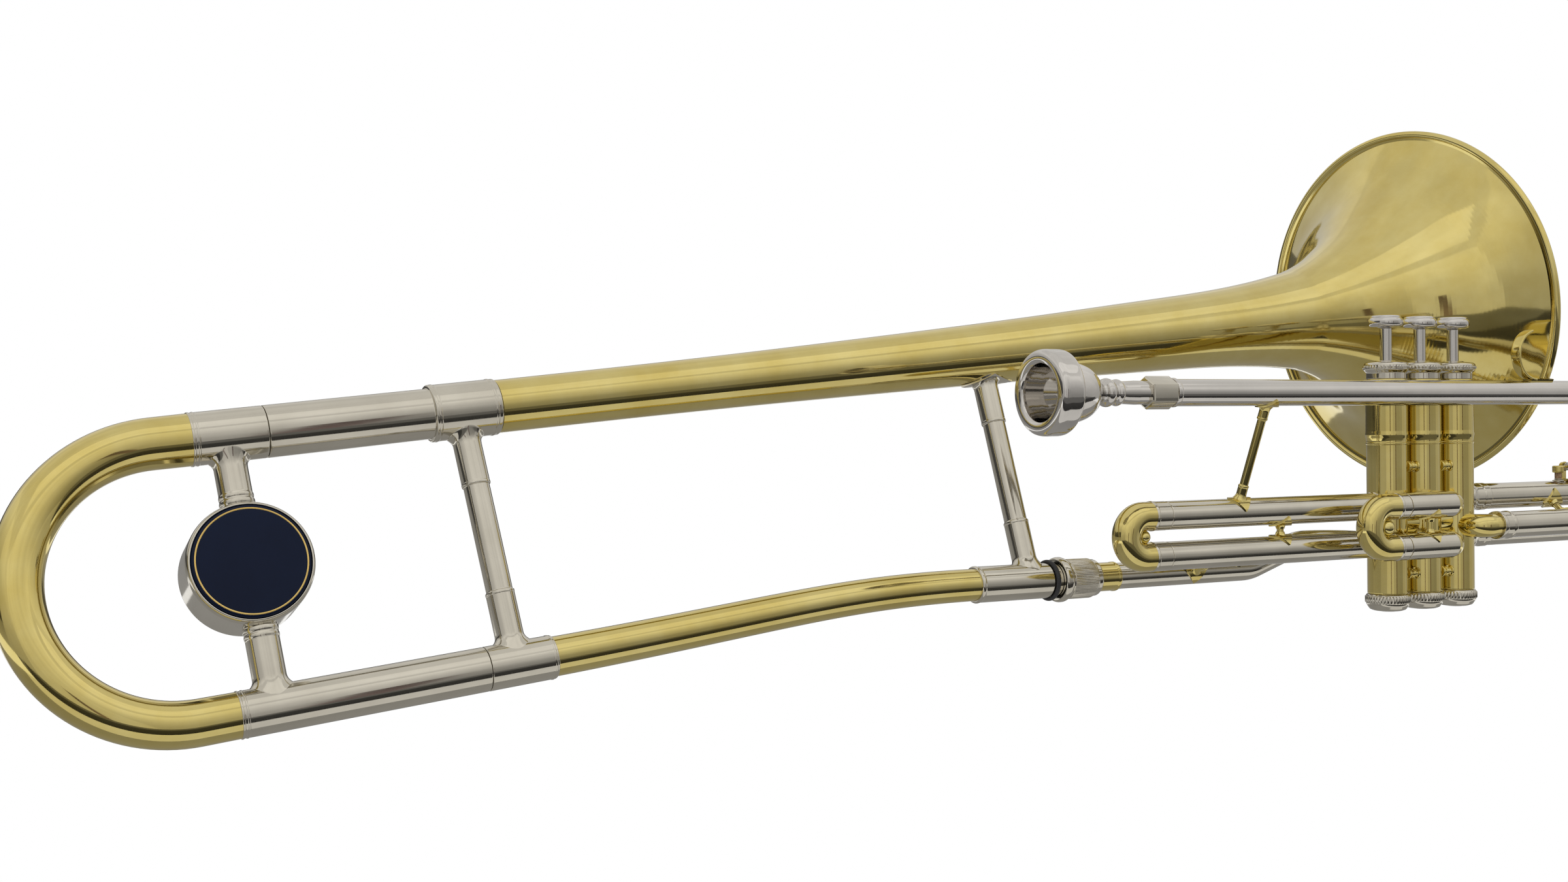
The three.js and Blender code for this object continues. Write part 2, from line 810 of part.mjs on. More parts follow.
function makeBalancerWeight() {
  const half = weightThickness / 2;
  const profile = [
    [-half, 0],
    [-half, weightRadius - weightEdgeRound],
    [-half + weightEdgeRound * 0.3, weightRadius - weightEdgeRound * 0.3],
    [-half + weightEdgeRound, weightRadius],
    [half - weightEdgeRound, weightRadius],
    [half - weightEdgeRound * 0.3, weightRadius - weightEdgeRound * 0.3],
    [half, weightRadius - weightEdgeRound],
    [half, badgeRadius + seatGap],
    [half - badgeRecess, badgeRadius + seatGap],
    [half - badgeRecess, 0],
  ];
  const centre = at(-weightBack, weightSetBack, -weightDown);
  return piece('balancer_weight', turned(profile, centre, towardNear, casingSides), nickelFinish);
}

function makeBalancerBadge() {
  const floor = weightThickness / 2 - weightSetBack - badgeRecess + seatGap;
  const back = at(-weightBack, -floor, -weightDown);
  const front = at(-weightBack, -(floor + badgeThickness), -weightDown);
  return piece('balancer_badge', rod(back, front, badgeRadius, casingSides), enamelFinish);
}

const receiverStart = at(receiverRear, receiverSide, receiverHeight);

// The gently curved neckpipe from the lower collar to the receiver beside the valves.
function makeNeckpipe() {
  const from = bellPoint(lowerCollarFront + receiverSocketDepth - seatGap, tuningSpacing);
  const way = bellHeading();
  const leave = bellPoint(lowerCollarFront, tuningSpacing);
  const arrive = receiverStart.clone();
  const curve = new THREE.CubicBezierCurve3(
    leave,
    leave.clone().addScaledVector(way, neckRearHandle),
    arrive.clone().addScaledVector(axisX, -neckFrontHandle),
    arrive,
  );
  const route = new Route(from, way)
    .pass(leave, way)
    .follow(curve, neckSteps)
    .straight(receiverSocketDepth - seatGap);
  return piece('neckpipe', sweptPipe(route, neckpipeRadius, neckpipeBore), brassFinish);
}

function makeReceiver() {
  const sleeveBore = exitSleeveRadius + seatGap;
  const profile = [
    [0, neckpipeRadius + seatGap],
    [0, receiverRadius],
    [receiverFront - receiverRear, receiverRadius],
    [receiverFront - receiverRear, receiverNeckRadius],
    [receiverNeckFront - receiverRear, receiverNeckRadius],
    [receiverNeckFront - receiverRear, sleeveBore],
    [exitSleeveRear - receiverRear, sleeveBore],
    [receiverSocketDepth, neckpipeBore],
    [receiverSocketDepth, neckpipeRadius + seatGap],
    [0, neckpipeRadius + seatGap],
  ];
  return piece('receiver', turned(profile, receiverStart, axisX), nickelFinish);
}

function makeORing() {
  const start = at(receiverFront + seatGap, receiverSide, receiverHeight);
  const bore = receiverNeckRadius + seatGap;
  const middle = (oRingRadius + bore) / 2;
  const profile = [
    [oRingLength * 0.3, bore],
    [0, middle],
    [oRingLength * 0.3, oRingRadius],
    [oRingLength * 0.7, oRingRadius],
    [oRingLength, middle],
    [oRingLength * 0.7, bore],
    [oRingLength * 0.3, bore],
  ];
  return piece('o_ring', turned(profile, start, axisX), rubberFinish);
}

// The knurled nut that locks the bell section to the valve section.
function makeLockNut() {
  const length = lockNutFront - lockNutRear;
  const start = at(lockNutRear, receiverSide, receiverHeight);
  const wide = receiverNeckRadius + turnGap;
  const narrow = exitSleeveRadius + turnGap;
  const step = receiverNeckFront - lockNutRear + turnGap;
  const plain = lockNutBodyRadius - lockNutKnurlDepth;
  const profile = [
    [0, wide],
    [0, lockNutBeadRadius - lockNutKnurlDepth * 2],
    [lockNutBeadLength * 0.25, lockNutBeadRadius],
    [lockNutBeadLength * 0.75, lockNutBeadRadius],
    [lockNutBeadLength, lockNutBeadRadius - lockNutKnurlDepth * 2],
    [lockNutBeadLength, plain],
    [length - lockNutKnurlDepth * 2, plain],
    [length, plain - lockNutKnurlDepth * 2],
    [length, narrow],
    [step, narrow],
    [step, wide],
    [0, wide],
  ];
  const knurlStart = start.clone().addScaledVector(axisX, lockNutBeadLength);
  const knurlLength = length - lockNutBeadLength - lockNutCollarLength;
  const knurl = toothedRing(lockNutBodyRadius, lockNutKnurlDepth, knurlLength, knurlStart, axisX);
  const hollow = rod(start, start.clone().addScaledVector(axisX, length), plain - buriedDepth);
  const body = turned(profile, start, axisX).add(knurl.subtract(hollow));
  return piece('lock_nut', body, nickelFinish);
}

const casingAxes = [-valvePitch, 0, valvePitch];

// Route of the exit pipe: level, rising in an S, then turning into the back of the first valve.
function exitRoute(start) {
  const riseEnd = casingAxes[0] - exitElbowRadius;
  const run = riseEnd - exitRiseStart;
  const climb = exitPortHeight - receiverHeight;
  const doubled = exitRiseRadius * 2;
  const slant = Math.sqrt(run ** 2 + (climb - doubled) ** 2 - doubled ** 2);
  const angle = Math.atan2(climb - doubled, run) + Math.atan2(doubled, slant);
  const cornerSide = receiverSide - exitElbowRadius;
  return new Route(start, axisX)
    .straight(exitRiseStart - start.x)
    .bend(towardNear, angle, exitRiseRadius, elbowSteps - 2)
    .straight(slant)
    .bend(axisY, angle, exitRiseRadius, elbowSteps - 2)
    .bend(downward, Math.PI / 2, exitElbowRadius, elbowSteps + 1)
    .straight(cornerSide);
}

function makeExitTube() {
  const start = at(exitSleeveRear + seatGap, receiverSide, receiverHeight);
  const sleeveEnd = at(exitSleeveFront, receiverSide, receiverHeight);
  const route = exitRoute(start);
  const casing = casingAxis(0);
  const outer = swept(route, exitTubeRadius, boreSides + 2).add(rod(start, sleeveEnd, exitSleeveRadius, pipeSides));
  const early = start.clone().addScaledVector(axisX, -cutOverrun);
  const bore = swept(exitRoute(early), exitTubeBore, boreSides);
  return piece('exit_tube', cutAll(outer, [clearanceAround(casing), bore]), nickelFinish);
}

function casingAxis(index) {
  return pipeLine(at(casingAxes[index], 0, (casingTop + casingBottom) / 2), axisZ, casingRadius);
}

// Where the ports open in each casing: the way out and the height.
const casingPorts = [
  [
    { way: axisY, height: exitPortHeight },
    { way: towardPlayer, height: slide1UpperHeight },
    { way: towardPlayer, height: slide1LowerHeight },
    { way: axisX, height: linkHeight },
  ],
  [
    { way: towardPlayer, height: linkHeight },
    { way: towardNear, height: slide2UpperHeight },
    { way: towardNear, height: slide2LowerHeight },
    { way: axisX, height: linkHeight },
  ],
  [
    { way: towardPlayer, height: linkHeight },
    { way: axisX, height: slide3UpperHeight },
    { way: axisX, height: slide3LowerHeight },
    { way: towardNear, height: returnHeight },
  ],
];

// The short pipes and spacers that tie the middle casing to its neighbours.
function casingLinks() {
  const reach = valvePitch;
  const links = [rod(at(-reach, 0, linkHeight), at(reach, 0, linkHeight), linkRadius, pipeSides)];
  for (const height of spacerHeights) {
    links.push(rod(at(-reach, spacerSide, height), at(reach, spacerSide, height), spacerRadius));
  }
  return cutAll(joinAll(links), [clearanceAround(casingAxis(0)), clearanceAround(casingAxis(2))]);
}

function makeCasing(index) {
  const neckBottom = casingBottom - casingNeckLength;
  const neckTop = casingTop + casingNeckLength;
  const outline = [
    [neckBottom, 0],
    [neckBottom, casingNeckRadius],
    [casingBottom, casingNeckRadius],
    [casingBottom, casingRadius],
    [casingSeam, casingRadius],
    [casingSeam, casingTopRadius],
    [casingTop, casingTopRadius],
    [casingTop, casingNeckRadius],
    [neckTop, casingNeckRadius],
    [neckTop, 0],
  ];
  const hollow = [
    [neckBottom - cutOverrun, 0],
    [neckBottom - cutOverrun, casingBore],
    [shelfTop - shelfThickness, casingBore],
    [shelfTop - shelfThickness, shelfBore],
    [shelfTop, shelfBore],
    [shelfTop, casingBore],
    [neckTop + cutOverrun, casingBore],
    [neckTop + cutOverrun, 0],
  ];
  const foot = at(0, 0, 0);
  let body = turned(outline, foot, axisZ, casingSides);
  if (index === 1) {
    body = body.add(casingLinks());
  }
  const cuts = [turned(hollow, foot, axisZ, casingSides - 4)];
  for (const port of casingPorts[index]) {
    const centre = at(0, 0, port.height);
    const out = centre.clone().addScaledVector(port.way, valvePitch);
    cuts.push(rod(centre, out, portBore, boreSides));
  }
  const casing = piece(`casing_${index + 1}`, cutAll(body, cuts), brassFinish);
  casing.position.x = casingAxes[index];
  return casing;
}

// A knurled cap: a toothed skirt, a domed end and a hollow that takes the casing's neck.
function makeTopCap(index) {
  const bottom = casingTop + seatGap;
  const roof = topCapTop - capRoof;
  const skirt = toothedRing(topCapRadius, capKnurlDepth, topCapKnurlHeight, at(0, 0, bottom), axisZ);
  const dome = [
    [bottom + topCapKnurlHeight - buriedDepth, 0],
    [bottom + topCapKnurlHeight - buriedDepth, topCapDomeRadius],
    [roof, topCapDomeRadius],
    [topCapTop - capKnurlDepth, topCapDomeRadius * 0.8],
    [topCapTop, topCapDomeRadius * 0.5],
    [topCapTop, 0],
  ];
  const hollow = rod(at(0, 0, bottom - cutOverrun), at(0, 0, roof), casingNeckRadius + seatGap, casingSides - 4);
  const hole = rod(at(0, 0, roof - cutOverrun), at(0, 0, topCapTop + cutOverrun), stemPinRadius + turnGap, boreSides);
  const body = skirt.add(turned(dome, at(0, 0, 0), axisZ, casingSides - 4));
  const cap = piece(`top_cap_${index + 1}`, cutAll(body, [hollow, hole]), nickelFinish);
  cap.position.x = casingAxes[index];
  return cap;
}

function makeBottomCap(index) {
  const top = casingBottom - seatGap;
  const floor = bottomCapBottom + bottomCapFloor;
  const skirtBottom = top - bottomCapKnurlHeight;
  const skirt = toothedRing(bottomCapRadius, capKnurlDepth, bottomCapKnurlHeight, at(0, 0, skirtBottom), axisZ);
  const dome = [
    [bottomCapBottom, 0],
    [bottomCapBottom, bottomCapDomeRadius * 0.7],
    [bottomCapBottom + bottomCapFloor / 2, bottomCapDomeRadius],
    [floor, casingRadius + capKnurlDepth],
    [skirtBottom + buriedDepth, casingRadius + capKnurlDepth],
    [skirtBottom + buriedDepth, 0],
  ];
  const hollow = rod(at(0, 0, floor), at(0, 0, top + cutOverrun), casingNeckRadius + seatGap, casingSides - 4);
  const vent = rod(at(0, 0, bottomCapBottom - cutOverrun), at(0, 0, floor + cutOverrun), bottomCapVent, boreSides);
  const body = skirt.add(turned(dome, at(0, 0, 0), axisZ, casingSides - 4));
  const cap = piece(`bottom_cap_${index + 1}`, cutAll(body, [hollow, vent]), nickelFinish);
  cap.position.x = casingAxes[index];
  return cap;
}

// A passage through a piston between two openings, meeting on the piston's axis.
function passage(first, second, lift, bore) {
  const middle = at(0, 0, (first.height + second.height) / 2 + lift);
  const past = (target) => middle.clone().sub(target).setLength(bore / 2).add(middle);
  const from = at(0, 0, first.height + lift).addScaledVector(first.way, pistonRadius + cutOverrun);
  const to = at(0, 0, second.height + lift).addScaledVector(second.way, pistonRadius + cutOverrun);
  return rod(past(from), from, bore, passageSides).add(rod(past(to), to, bore, passageSides));
}

function makePiston(index) {
  const plateTop = pistonPlateBottom + pistonPlateThickness;
  const profile = [
    [pistonBottom, 0],
    [pistonBottom, pistonRadius],
    [pistonTop, pistonRadius],
    [pistonTop, pistonRodRadius],
    [pistonPlateBottom, pistonRodRadius],
    [pistonPlateBottom, pistonPlateRadius],
    [plateTop, pistonPlateRadius],
    [plateTop, feltRadius],
    [topCapTop - capRoof - seatGap, feltRadius],
    [topCapTop - capRoof - seatGap, stemPinRadius],
    [buttonBottom - seatGap, stemPinRadius],
    [buttonBottom - seatGap, stemPegRadius],
    [buttonBottom + stemPegLength - seatGap, stemPegRadius],
    [buttonBottom + stemPegLength - seatGap, 0],
  ];
  const ports = casingPorts[index];
  const cuts = [
    passage(ports[0], ports[3], 0, passageBore),
    passage(ports[0], ports[1], pistonTravel, passageBore),
    passage(ports[2], ports[3], pistonTravel, passageBore),
  ];
  const body = cutAll(turned(profile, at(0, 0, 0), axisZ, boreSides + 6), cuts);
  const piston = piece(`piston_${index + 1}`, body, nickelFinish);
  piston.position.x = casingAxes[index];
  return piston;
}

function makeButton(index) {
  const top = buttonBottom + buttonHeight;
  const profile = [
    [buttonBottom, 0],
    [buttonBottom, stemPinRadius + seatGap],
    [buttonBottom + buttonRound, buttonRadius - buttonRound * 0.3],
    [buttonBottom + buttonHeight / 2, buttonRadius],
    [top - buttonRound, buttonRadius],
    [top - buttonRound * 0.3, buttonRadius - buttonRound * 0.3],
    [top, buttonRadius - buttonRound],
    [top - buttonRound * 0.2, 0],
  ];
  const socket = rod(at(0, 0, buttonBottom - cutOverrun), at(0, 0, buttonBottom + stemPegLength), stemPegRadius + seatGap);
  const body = turned(profile, at(0, 0, 0), axisZ).subtract(socket);
  const button = piece(`button_${index + 1}`, body, silverFinish);
  button.position.x = casingAxes[index];
  return button;
}

// The return spring between the casing's inner shelf and the plate on the piston's stem.
function makeValveSpring(index) {
  const bottom = shelfTop + springWire + seatGap;
  const length = pistonPlateBottom - springWire - seatGap - bottom;
  const name = `valve_spring_${index + 1}`;
  const wire = woundSpring(name, at(0, 0, bottom), axisZ, springRadius, springWire, length, springCurlCount);
  const spring = piece(name, wire, steelFinish);
  spring.position.x = casingAxes[index];
  return spring;
}

function leadpipeLine() {
  return pipeLine(at(0, leadpipeSide, 0), axisX, leadpipeRadius);
}

function makeLeadpipe() {
  const start = at(leadpipeRear, leadpipeSide, 0);
  const end = at(crookJoint, leadpipeSide, 0);
  return piece('leadpipe', pipeBetween(start, end, leadpipeRadius, leadpipeBore), silverFinish);
}

// The hexagonal socket that takes the mouthpiece, with one flat toward the near side.
function makeMouthpieceReceiver() {
  const length = leadpipeRear - hexRear - seatGap;
  const corner = hexAcrossFlats / 2 / Math.cos(Math.PI / 6);
  const hexagon = new THREE.Shape(circle(corner, 6));
  const prism = new THREE.ExtrudeGeometry(hexagon, { depth: length, bevelEnabled: false });
  const placement = new THREE.Matrix4().makeBasis(axisY, axisZ, axisX)
    .multiply(new THREE.Matrix4().makeRotationZ(Math.PI / 6))
    .setPosition(at(hexRear, leadpipeSide, 0));
  const flat = hexAcrossFlats / 2;
  const ends = turned([
    [0, 0],
    [0, flat - hexChamfer * 0.4],
    [hexChamfer, corner],
    [length - hexChamfer * 0.5, corner],
    [length, flat],
    [length, 0],
  ], at(hexRear, leadpipeSide, 0), axisX, casingSides);
  const bore = rod(
    at(hexRear - cutOverrun, leadpipeSide, 0),
    at(leadpipeRear + cutOverrun, leadpipeSide, 0),
    hexBore,
    pipeSides,
  );
  const body = solidOf(prism, placement).intersect(ends).subtract(bore);
  return piece('mouthpiece_receiver', body, nickelFinish);
}

function makeMouthpiece() {
  const rim = mouthpieceRimRadius;
  const cup = mouthpieceCupRadius;
  const inner = mouthpieceInnerRadius;
  const rimEnd = mouthpieceRimLength;
  const cupEnd = mouthpieceCupDepth + mouthpieceRimLength;
  const shankStart = hexRear - mouthpieceRimFront - rimEnd / 2;
  const profile = [
    [rimEnd * 0.16, inner],
    [rimEnd * 0.02, inner + (rim - inner) * 0.25],
    [0, inner + (rim - inner) * 0.5],
    [rimEnd * 0.06, rim - (rim - inner) * 0.2],
    [rimEnd * 0.3, rim],
    [rimEnd * 0.72, rim],
    [rimEnd * 0.86, rim * 0.95],
    [rimEnd, cup * 1.06],
    [rimEnd + mouthpieceCupDepth * 0.16, cup],
    [rimEnd + mouthpieceCupDepth * 0.42, cup * 0.93],
    [rimEnd + mouthpieceCupDepth * 0.66, cup * 0.74],
    [rimEnd + mouthpieceCupDepth * 0.84, cup * 0.5],
    [cupEnd - ringHeight * 3, mouthpieceNeckRadius],
    [cupEnd, mouthpieceBulbRadius * 0.9],
    [cupEnd + mouthpieceCupDepth * 0.1, mouthpieceBulbRadius],
    [cupEnd + mouthpieceCupDepth * 0.24, mouthpieceBulbRadius * 0.78],
    [cupEnd + mouthpieceCupDepth * 0.3, mouthpieceRingRadius],
    [cupEnd + mouthpieceCupDepth * 0.36, mouthpieceShankRadius * 0.9],
    [shankStart, mouthpieceShankRadius],
    [mouthpieceLength, mouthpieceShankTipRadius],
    [mouthpieceLength, mouthpieceBackbore],
    [cupEnd, mouthpieceThroat],
    [cupEnd - mouthpieceCupDepth * 0.45, mouthpieceThroat],
    [cupEnd - mouthpieceCupDepth * 0.62, inner * 0.5],
    [cupEnd - mouthpieceCupDepth * 0.9, inner * 0.82],
    [rimEnd * 0.7, inner * 0.93],
    [rimEnd * 0.16, inner],
  ];
  const start = at(mouthpieceRimFront, leadpipeSide, 0);
  return piece('mouthpiece', turned(profile, start, axisX, casingSides - 4), silverFinish);
}

// The front crook that turns the leadpipe's air back toward the valves.
function makeFrontCrook() {
  const radius = -returnHeight / 2;
  const start = at(crookJoint + seatGap, leadpipeSide, 0);
  const route = new Route(start, axisX)
    .straight(crookFerruleLength)
    .bend(axisY, Math.PI, radius, bowSteps)
    .straight(crookFerruleLength);
  const outer = swept(route, leadpipeRadius);
  const ferruleEnd = start.clone().addScaledVector(axisX, crookFerruleLength);
  const ferruleRadius = leadpipeRadius + crookFerruleThickness;
  const drop = at(0, 0, returnHeight);
  const ferrules = [
    rod(start, ferruleEnd, ferruleRadius, pipeSides),
    rod(start.clone().add(drop), ferruleEnd.clone().add(drop), ferruleRadius, pipeSides),
  ];
  const early = start.clone().addScaledVector(axisX, -cutOverrun);
  const boreRoute = new Route(early, axisX)
    .straight(crookFerruleLength + cutOverrun)
    .bend(axisY, Math.PI, radius, bowSteps)
    .straight(crookFerruleLength + cutOverrun);
  const bore = swept(boreRoute, leadpipeBore, boreSides);
  return piece('front_crook', joinAll([outer, ...ferrules]).subtract(bore), brassFinish);
}

function returnLine() {
  return pipeLine(at(0, leadpipeSide, returnHeight), axisX, returnRadius);
}

function makeReturnTube() {
  const length = crookJoint - returnFerruleRear;
  const ferrule = returnFerruleFront - returnFerruleRear;
  const profile = [
    [0, returnBore],
    [0, returnFerruleRadius],
    [ferrule, returnFerruleRadius],
    [ferrule, returnRadius],
    [length, returnRadius],
    [length, returnBore],
    [0, returnBore],
  ];
  const start = at(returnFerruleRear, leadpipeSide, returnHeight);
  return piece('return_tube', turned(profile, start, axisX), nickelFinish);
}

// An elbow that leaves a casing toward the near side and turns along the pipes.
function sideElbow(centreAlong, height, side, bendRadius, radius, bore, end) {
  const sign = Math.sign(end - centreAlong);
  const routeFrom = (reach) => new Route(at(centreAlong, 0, height), towardNear)
    .straight(-side - bendRadius)
    .bend(sign > 0 ? axisZ : downward, Math.PI / 2, bendRadius)
    .straight(Math.abs(end - centreAlong) - bendRadius + reach);
  const outer = swept(routeFrom(0), radius);
  const hollow = swept(routeFrom(cutOverrun), bore);
  return outer.subtract(hollow);
}

function makeReturnElbow() {
  const end = returnFerruleRear - seatGap;
  const bend = -leadpipeSide - casingRadius - seatGap;
  const elbow = sideElbow(
    casingAxes[2], returnHeight, leadpipeSide, bend, returnElbowRadius, returnElbowBore, end,
  );
  return piece('return_elbow', elbow.subtract(clearanceAround(casingAxis(2))), brassFinish);
}

// A fixed outer leg of a slide, from its casing to its mouth, its end hollowed to fit the casing.
function outerLeg(casing, mouthAlong, side, height, radius, bore) {
  const start = at(casing.point.x, side, height);
  const end = at(mouthAlong, side, height);
  return pipeBetween(start, end, radius, bore).subtract(clearanceAround(casing));
}

// The moving part of a slide: two inner legs, two ferrules and a round bow between them.
function movingSlide(sizes) {
  const outWay = sizes.bowCentre > sizes.innerEnd ? axisX : towardPlayer;
  const radius = (sizes.upper - sizes.lower) / 2;
  const turnAxis = outWay === axisX ? axisY : towardNear;
  const routeFrom = (along) => new Route(at(along, sizes.side, sizes.upper), outWay)
    .straight(Math.abs(sizes.bowCentre - along))
    .bend(turnAxis, Math.PI, radius, bowSteps)
    .straight(Math.abs(sizes.bowCentre - along));
  const inner = swept(routeFrom(sizes.innerEnd), sizes.innerRadius);
  const bow = swept(routeFrom(sizes.ferruleEnd), sizes.bowRadius);
  const shoulder = sizes.outerEnd + seatGap * outWay.x;
  const ferrules = [sizes.upper, sizes.lower].map((height) => rod(
    at(shoulder, sizes.side, height),
    at(sizes.ferruleEnd, sizes.side, height),
    sizes.ferruleRadius,
    pipeSides,
  ));
  const middle = (sizes.upper + sizes.lower) / 2;
  const knobRadius = radius - sizes.bowRadius + crotchBallBury;
  const knob = ball(at(sizes.bowCentre, sizes.side, middle), knobRadius);
  const early = sizes.innerEnd - cutOverrun * outWay.x;
  const bore = swept(routeFrom(early), sizes.innerBore, boreSides);
  return joinAll([inner, bow, ...ferrules, knob]).subtract(bore);
}

function slide1Line(height) {
  return pipeLine(at(0, 0, height), axisX, legRadius);
}

function makeSlide1Outer(name, height) {
  const leg = outerLeg(casingAxis(0), slide1OuterEnd, 0, height, legRadius, legBore);
  return piece(name, leg, nickelFinish);
}

function makeSlide1Moving() {
  return piece('slide1_moving', movingSlide({
    side: 0,
    upper: slide1UpperHeight,
    lower: slide1LowerHeight,
    outerEnd: slide1OuterEnd,
    ferruleEnd: slide1FerruleEnd,
    bowCentre: slide1BowCentre,
    innerEnd: slide1InnerEnd,
    innerRadius: innerLegRadius,
    innerBore: innerLegBore,
    bowRadius: legRadius,
    ferruleRadius,
  }), brassFinish);
}

function makeSlide2Outer(name, height) {
  const casing = casingAxis(1);
  const end = slide2OuterEnd;
  const elbow = sideElbow(0, height, slide2Side, slide2ElbowRadius, slide2LegRadius, slide2LegBore, end);
  return piece(name, elbow.subtract(clearanceAround(casing)), brassFinish);
}

function makeSlide2Moving() {
  return piece('slide2_moving', movingSlide({
    side: slide2Side,
    upper: slide2UpperHeight,
    lower: slide2LowerHeight,
    outerEnd: slide2OuterEnd,
    ferruleEnd: slide2FerruleEnd,
    bowCentre: slide2BowCentre,
    innerEnd: slide2InnerEnd,
    innerRadius: slide2InnerRadius,
    innerBore: slide2InnerBore,
    bowRadius: slide2LegRadius,
    ferruleRadius: slide2FerruleRadius,
  }), brassFinish);
}

function slide3Line(height) {
  return pipeLine(at(0, 0, height), axisX, legRadius);
}

// The third slide's upper leg carries the water key's drain on its top.
function makeSlide3Outer(name, height, hasDrain) {
  const casing = casingAxis(2);
  let leg = outerLeg(casing, slide3OuterEnd, 0, height, legRadius, legBore);
  const ringStart = at(slide3RingAlong, 0, height);
  const ringEnd = at(slide3RingAlong + slide3RingLength, 0, height);
  leg = leg.add(pipeBetween(ringStart, ringEnd, ferruleRadius, legBore + buriedDepth / 2));
  if (hasDrain) {
    const legTop = height + legBore + buriedDepth / 2;
    const drain = turned([
      [legTop, 0],
      [legTop, drainRadius],
      [drainTop - ringHeight, drainRadius * 0.8],
      [drainTop, drainRadius],
      [drainTop, 0],
    ], at(drainAlong, 0, 0), axisZ, rodSides);
    const hole = rod(at(drainAlong, 0, height), at(drainAlong, 0, drainTop + cutOverrun), drainBore);
    leg = leg.add(drain).subtract(hole);
  }
  return piece(name, leg, nickelFinish);
}

function makeSlide3Moving() {
  return piece('slide3_moving', movingSlide({
    side: 0,
    upper: slide3UpperHeight,
    lower: slide3LowerHeight,
    outerEnd: slide3OuterEnd,
    ferruleEnd: slide3FerruleEnd,
    bowCentre: slide3BowCentre,
    innerEnd: slide3InnerEnd,
    innerRadius: innerLegRadius,
    innerBore: innerLegBore,
    bowRadius: legRadius,
    ferruleRadius,
  }), brassFinish);
}

// The struts that tie the pipes together.
function makeBellBrace() {
  const bellRadius = bellRadiusAt(bellBraceBack);
  const upper = pipeLine(bellPoint(bellBraceBack), bellHeading(), bellRadius);
  const lower = pipeLine(at(bellBraceFootAlong, receiverSide, receiverHeight), axisX, receiverRadius);
  const way = lower.point.clone().sub(upper.point).normalize();
  const grown = bellOutlineShares
    .map(([back, radius]) => [-back * bellLength, radius * bellRimRadius + seatGap])
    .reverse();
  const bellSpace = turned(
    [[grown[0][0], 0], ...grown, [grown[grown.length - 1][0], 0]],
    bellPoint(0),
    bellHeading(),
    bellSides,
  );
  const brace = flaredBrace(upper, lower, []).add(diamondFoot(upper, way));
  return piece('bell_brace', cutAll(brace, [bellSpace, clearanceAround(lower)]), nickelFinish);
}

function makeLeadpipeBrace() {
  const upper = pipeLine(at(leadpipeBraceTopAlong, leadpipeSide, 0), axisX, leadpipeRadius);
  const lower = pipeLine(at(leadpipeBraceFootAlong, 0, slide1UpperHeight), axisX, legRadius);
  const strut = footedStrut(upper, lower, strutRadius, strutSocketRadius, strutSocketLength);
  return piece('leadpipe_brace', strut, brassFinish);
}

function makeExitBrace() {
  const upper = pipeLine(at(exitBraceAlong, 0, slide1LowerHeight), axisX, legRadius);
  const lower = pipeLine(at(exitBraceAlong, receiverSide, receiverHeight), axisX, exitTubeRadius);
  return piece('exit_brace', footedStrut(upper, lower, strutRadius, strutSocketRadius, strutSocketLength), brassFinish);
}

function makeSlideBrace(name, along, side, upperHeight, lowerHeight, radius) {
  const upper = pipeLine(at(along, side, upperHeight), axisX, radius);
  const lower = pipeLine(at(along, side, lowerHeight), axisX, radius);
  return piece(name, footedStrut(upper, lower, shortStrutRadius), brassFinish);
}

function makeReturnStrut() {
  const first = pipeLine(at(returnStrutAlong, leadpipeSide, returnHeight), axisX, returnRadius);
  const second = pipeLine(at(returnStrutAlong, 0, slide3UpperHeight), axisX, legRadius);
  return piece('return_strut', footedStrut(first, second, shortStrutRadius), brassFinish);
}

// The finger hook: a band that curls up from a saddle foot on the leadpipe.
function makeFingerHook() {
  const footBottom = leadpipeRadius + seatGap;
  const centreHeight = footBottom + hookFootThickness / 2 + hookCurlRadius;
  const outer = hookCurlRadius + hookBandThickness / 2;
  const inner = hookCurlRadius - hookBandThickness / 2;
  const outline = new THREE.Shape();
  const turnAt = (i) => -Math.PI / 2 - ((Math.PI / 2 + hookTipAngle) * i) / hookSteps;
  for (let i = 0; i <= hookSteps; i += 1) {
    const point = [outer * Math.cos(turnAt(i)), outer * Math.sin(turnAt(i))];
    if (i === 0) {
      outline.moveTo(...point);
    } else {
      outline.lineTo(...point);
    }
  }
  for (let i = hookSteps; i >= 0; i -= 1) {
    outline.lineTo(inner * Math.cos(turnAt(i)), inner * Math.sin(turnAt(i)));
  }
  const band = new THREE.ExtrudeGeometry(outline, { depth: hookBandWidth, bevelEnabled: false });
  const placement = new THREE.Matrix4().makeBasis(axisX, axisZ, towardNear)
    .setPosition(at(hookCentreAlong, leadpipeSide + hookBandWidth / 2, centreHeight));
  const footEnd = at(hookFootFront, leadpipeSide, 0);
  const saddle = rod(at(hookFootRear, leadpipeSide, 0), footEnd, footBottom + hookFootThickness, casingSides);
  const keep = blockBetween(
    at(hookFootRear, leadpipeSide - hookBandWidth / 2, 0),
    at(hookFootFront, leadpipeSide + hookBandWidth / 2, footBottom + hookFootThickness),
  );
  const body = solidOf(band, placement).add(saddle.intersect(keep));
  return piece('finger_hook', body.subtract(clearanceAround(leadpipeLine(), hookFootFront * 2)), brassFinish);
}

const keyPin = at(keyPinAlong, 0, keyPinHeight);

function acrossKey(radius, halfWidth, sides = rodSides) {
  const near = keyPin.clone().addScaledVector(axisY, -halfWidth);
  const far = keyPin.clone().addScaledVector(axisY, halfWidth);
  return rod(near, far, radius, sides);
}

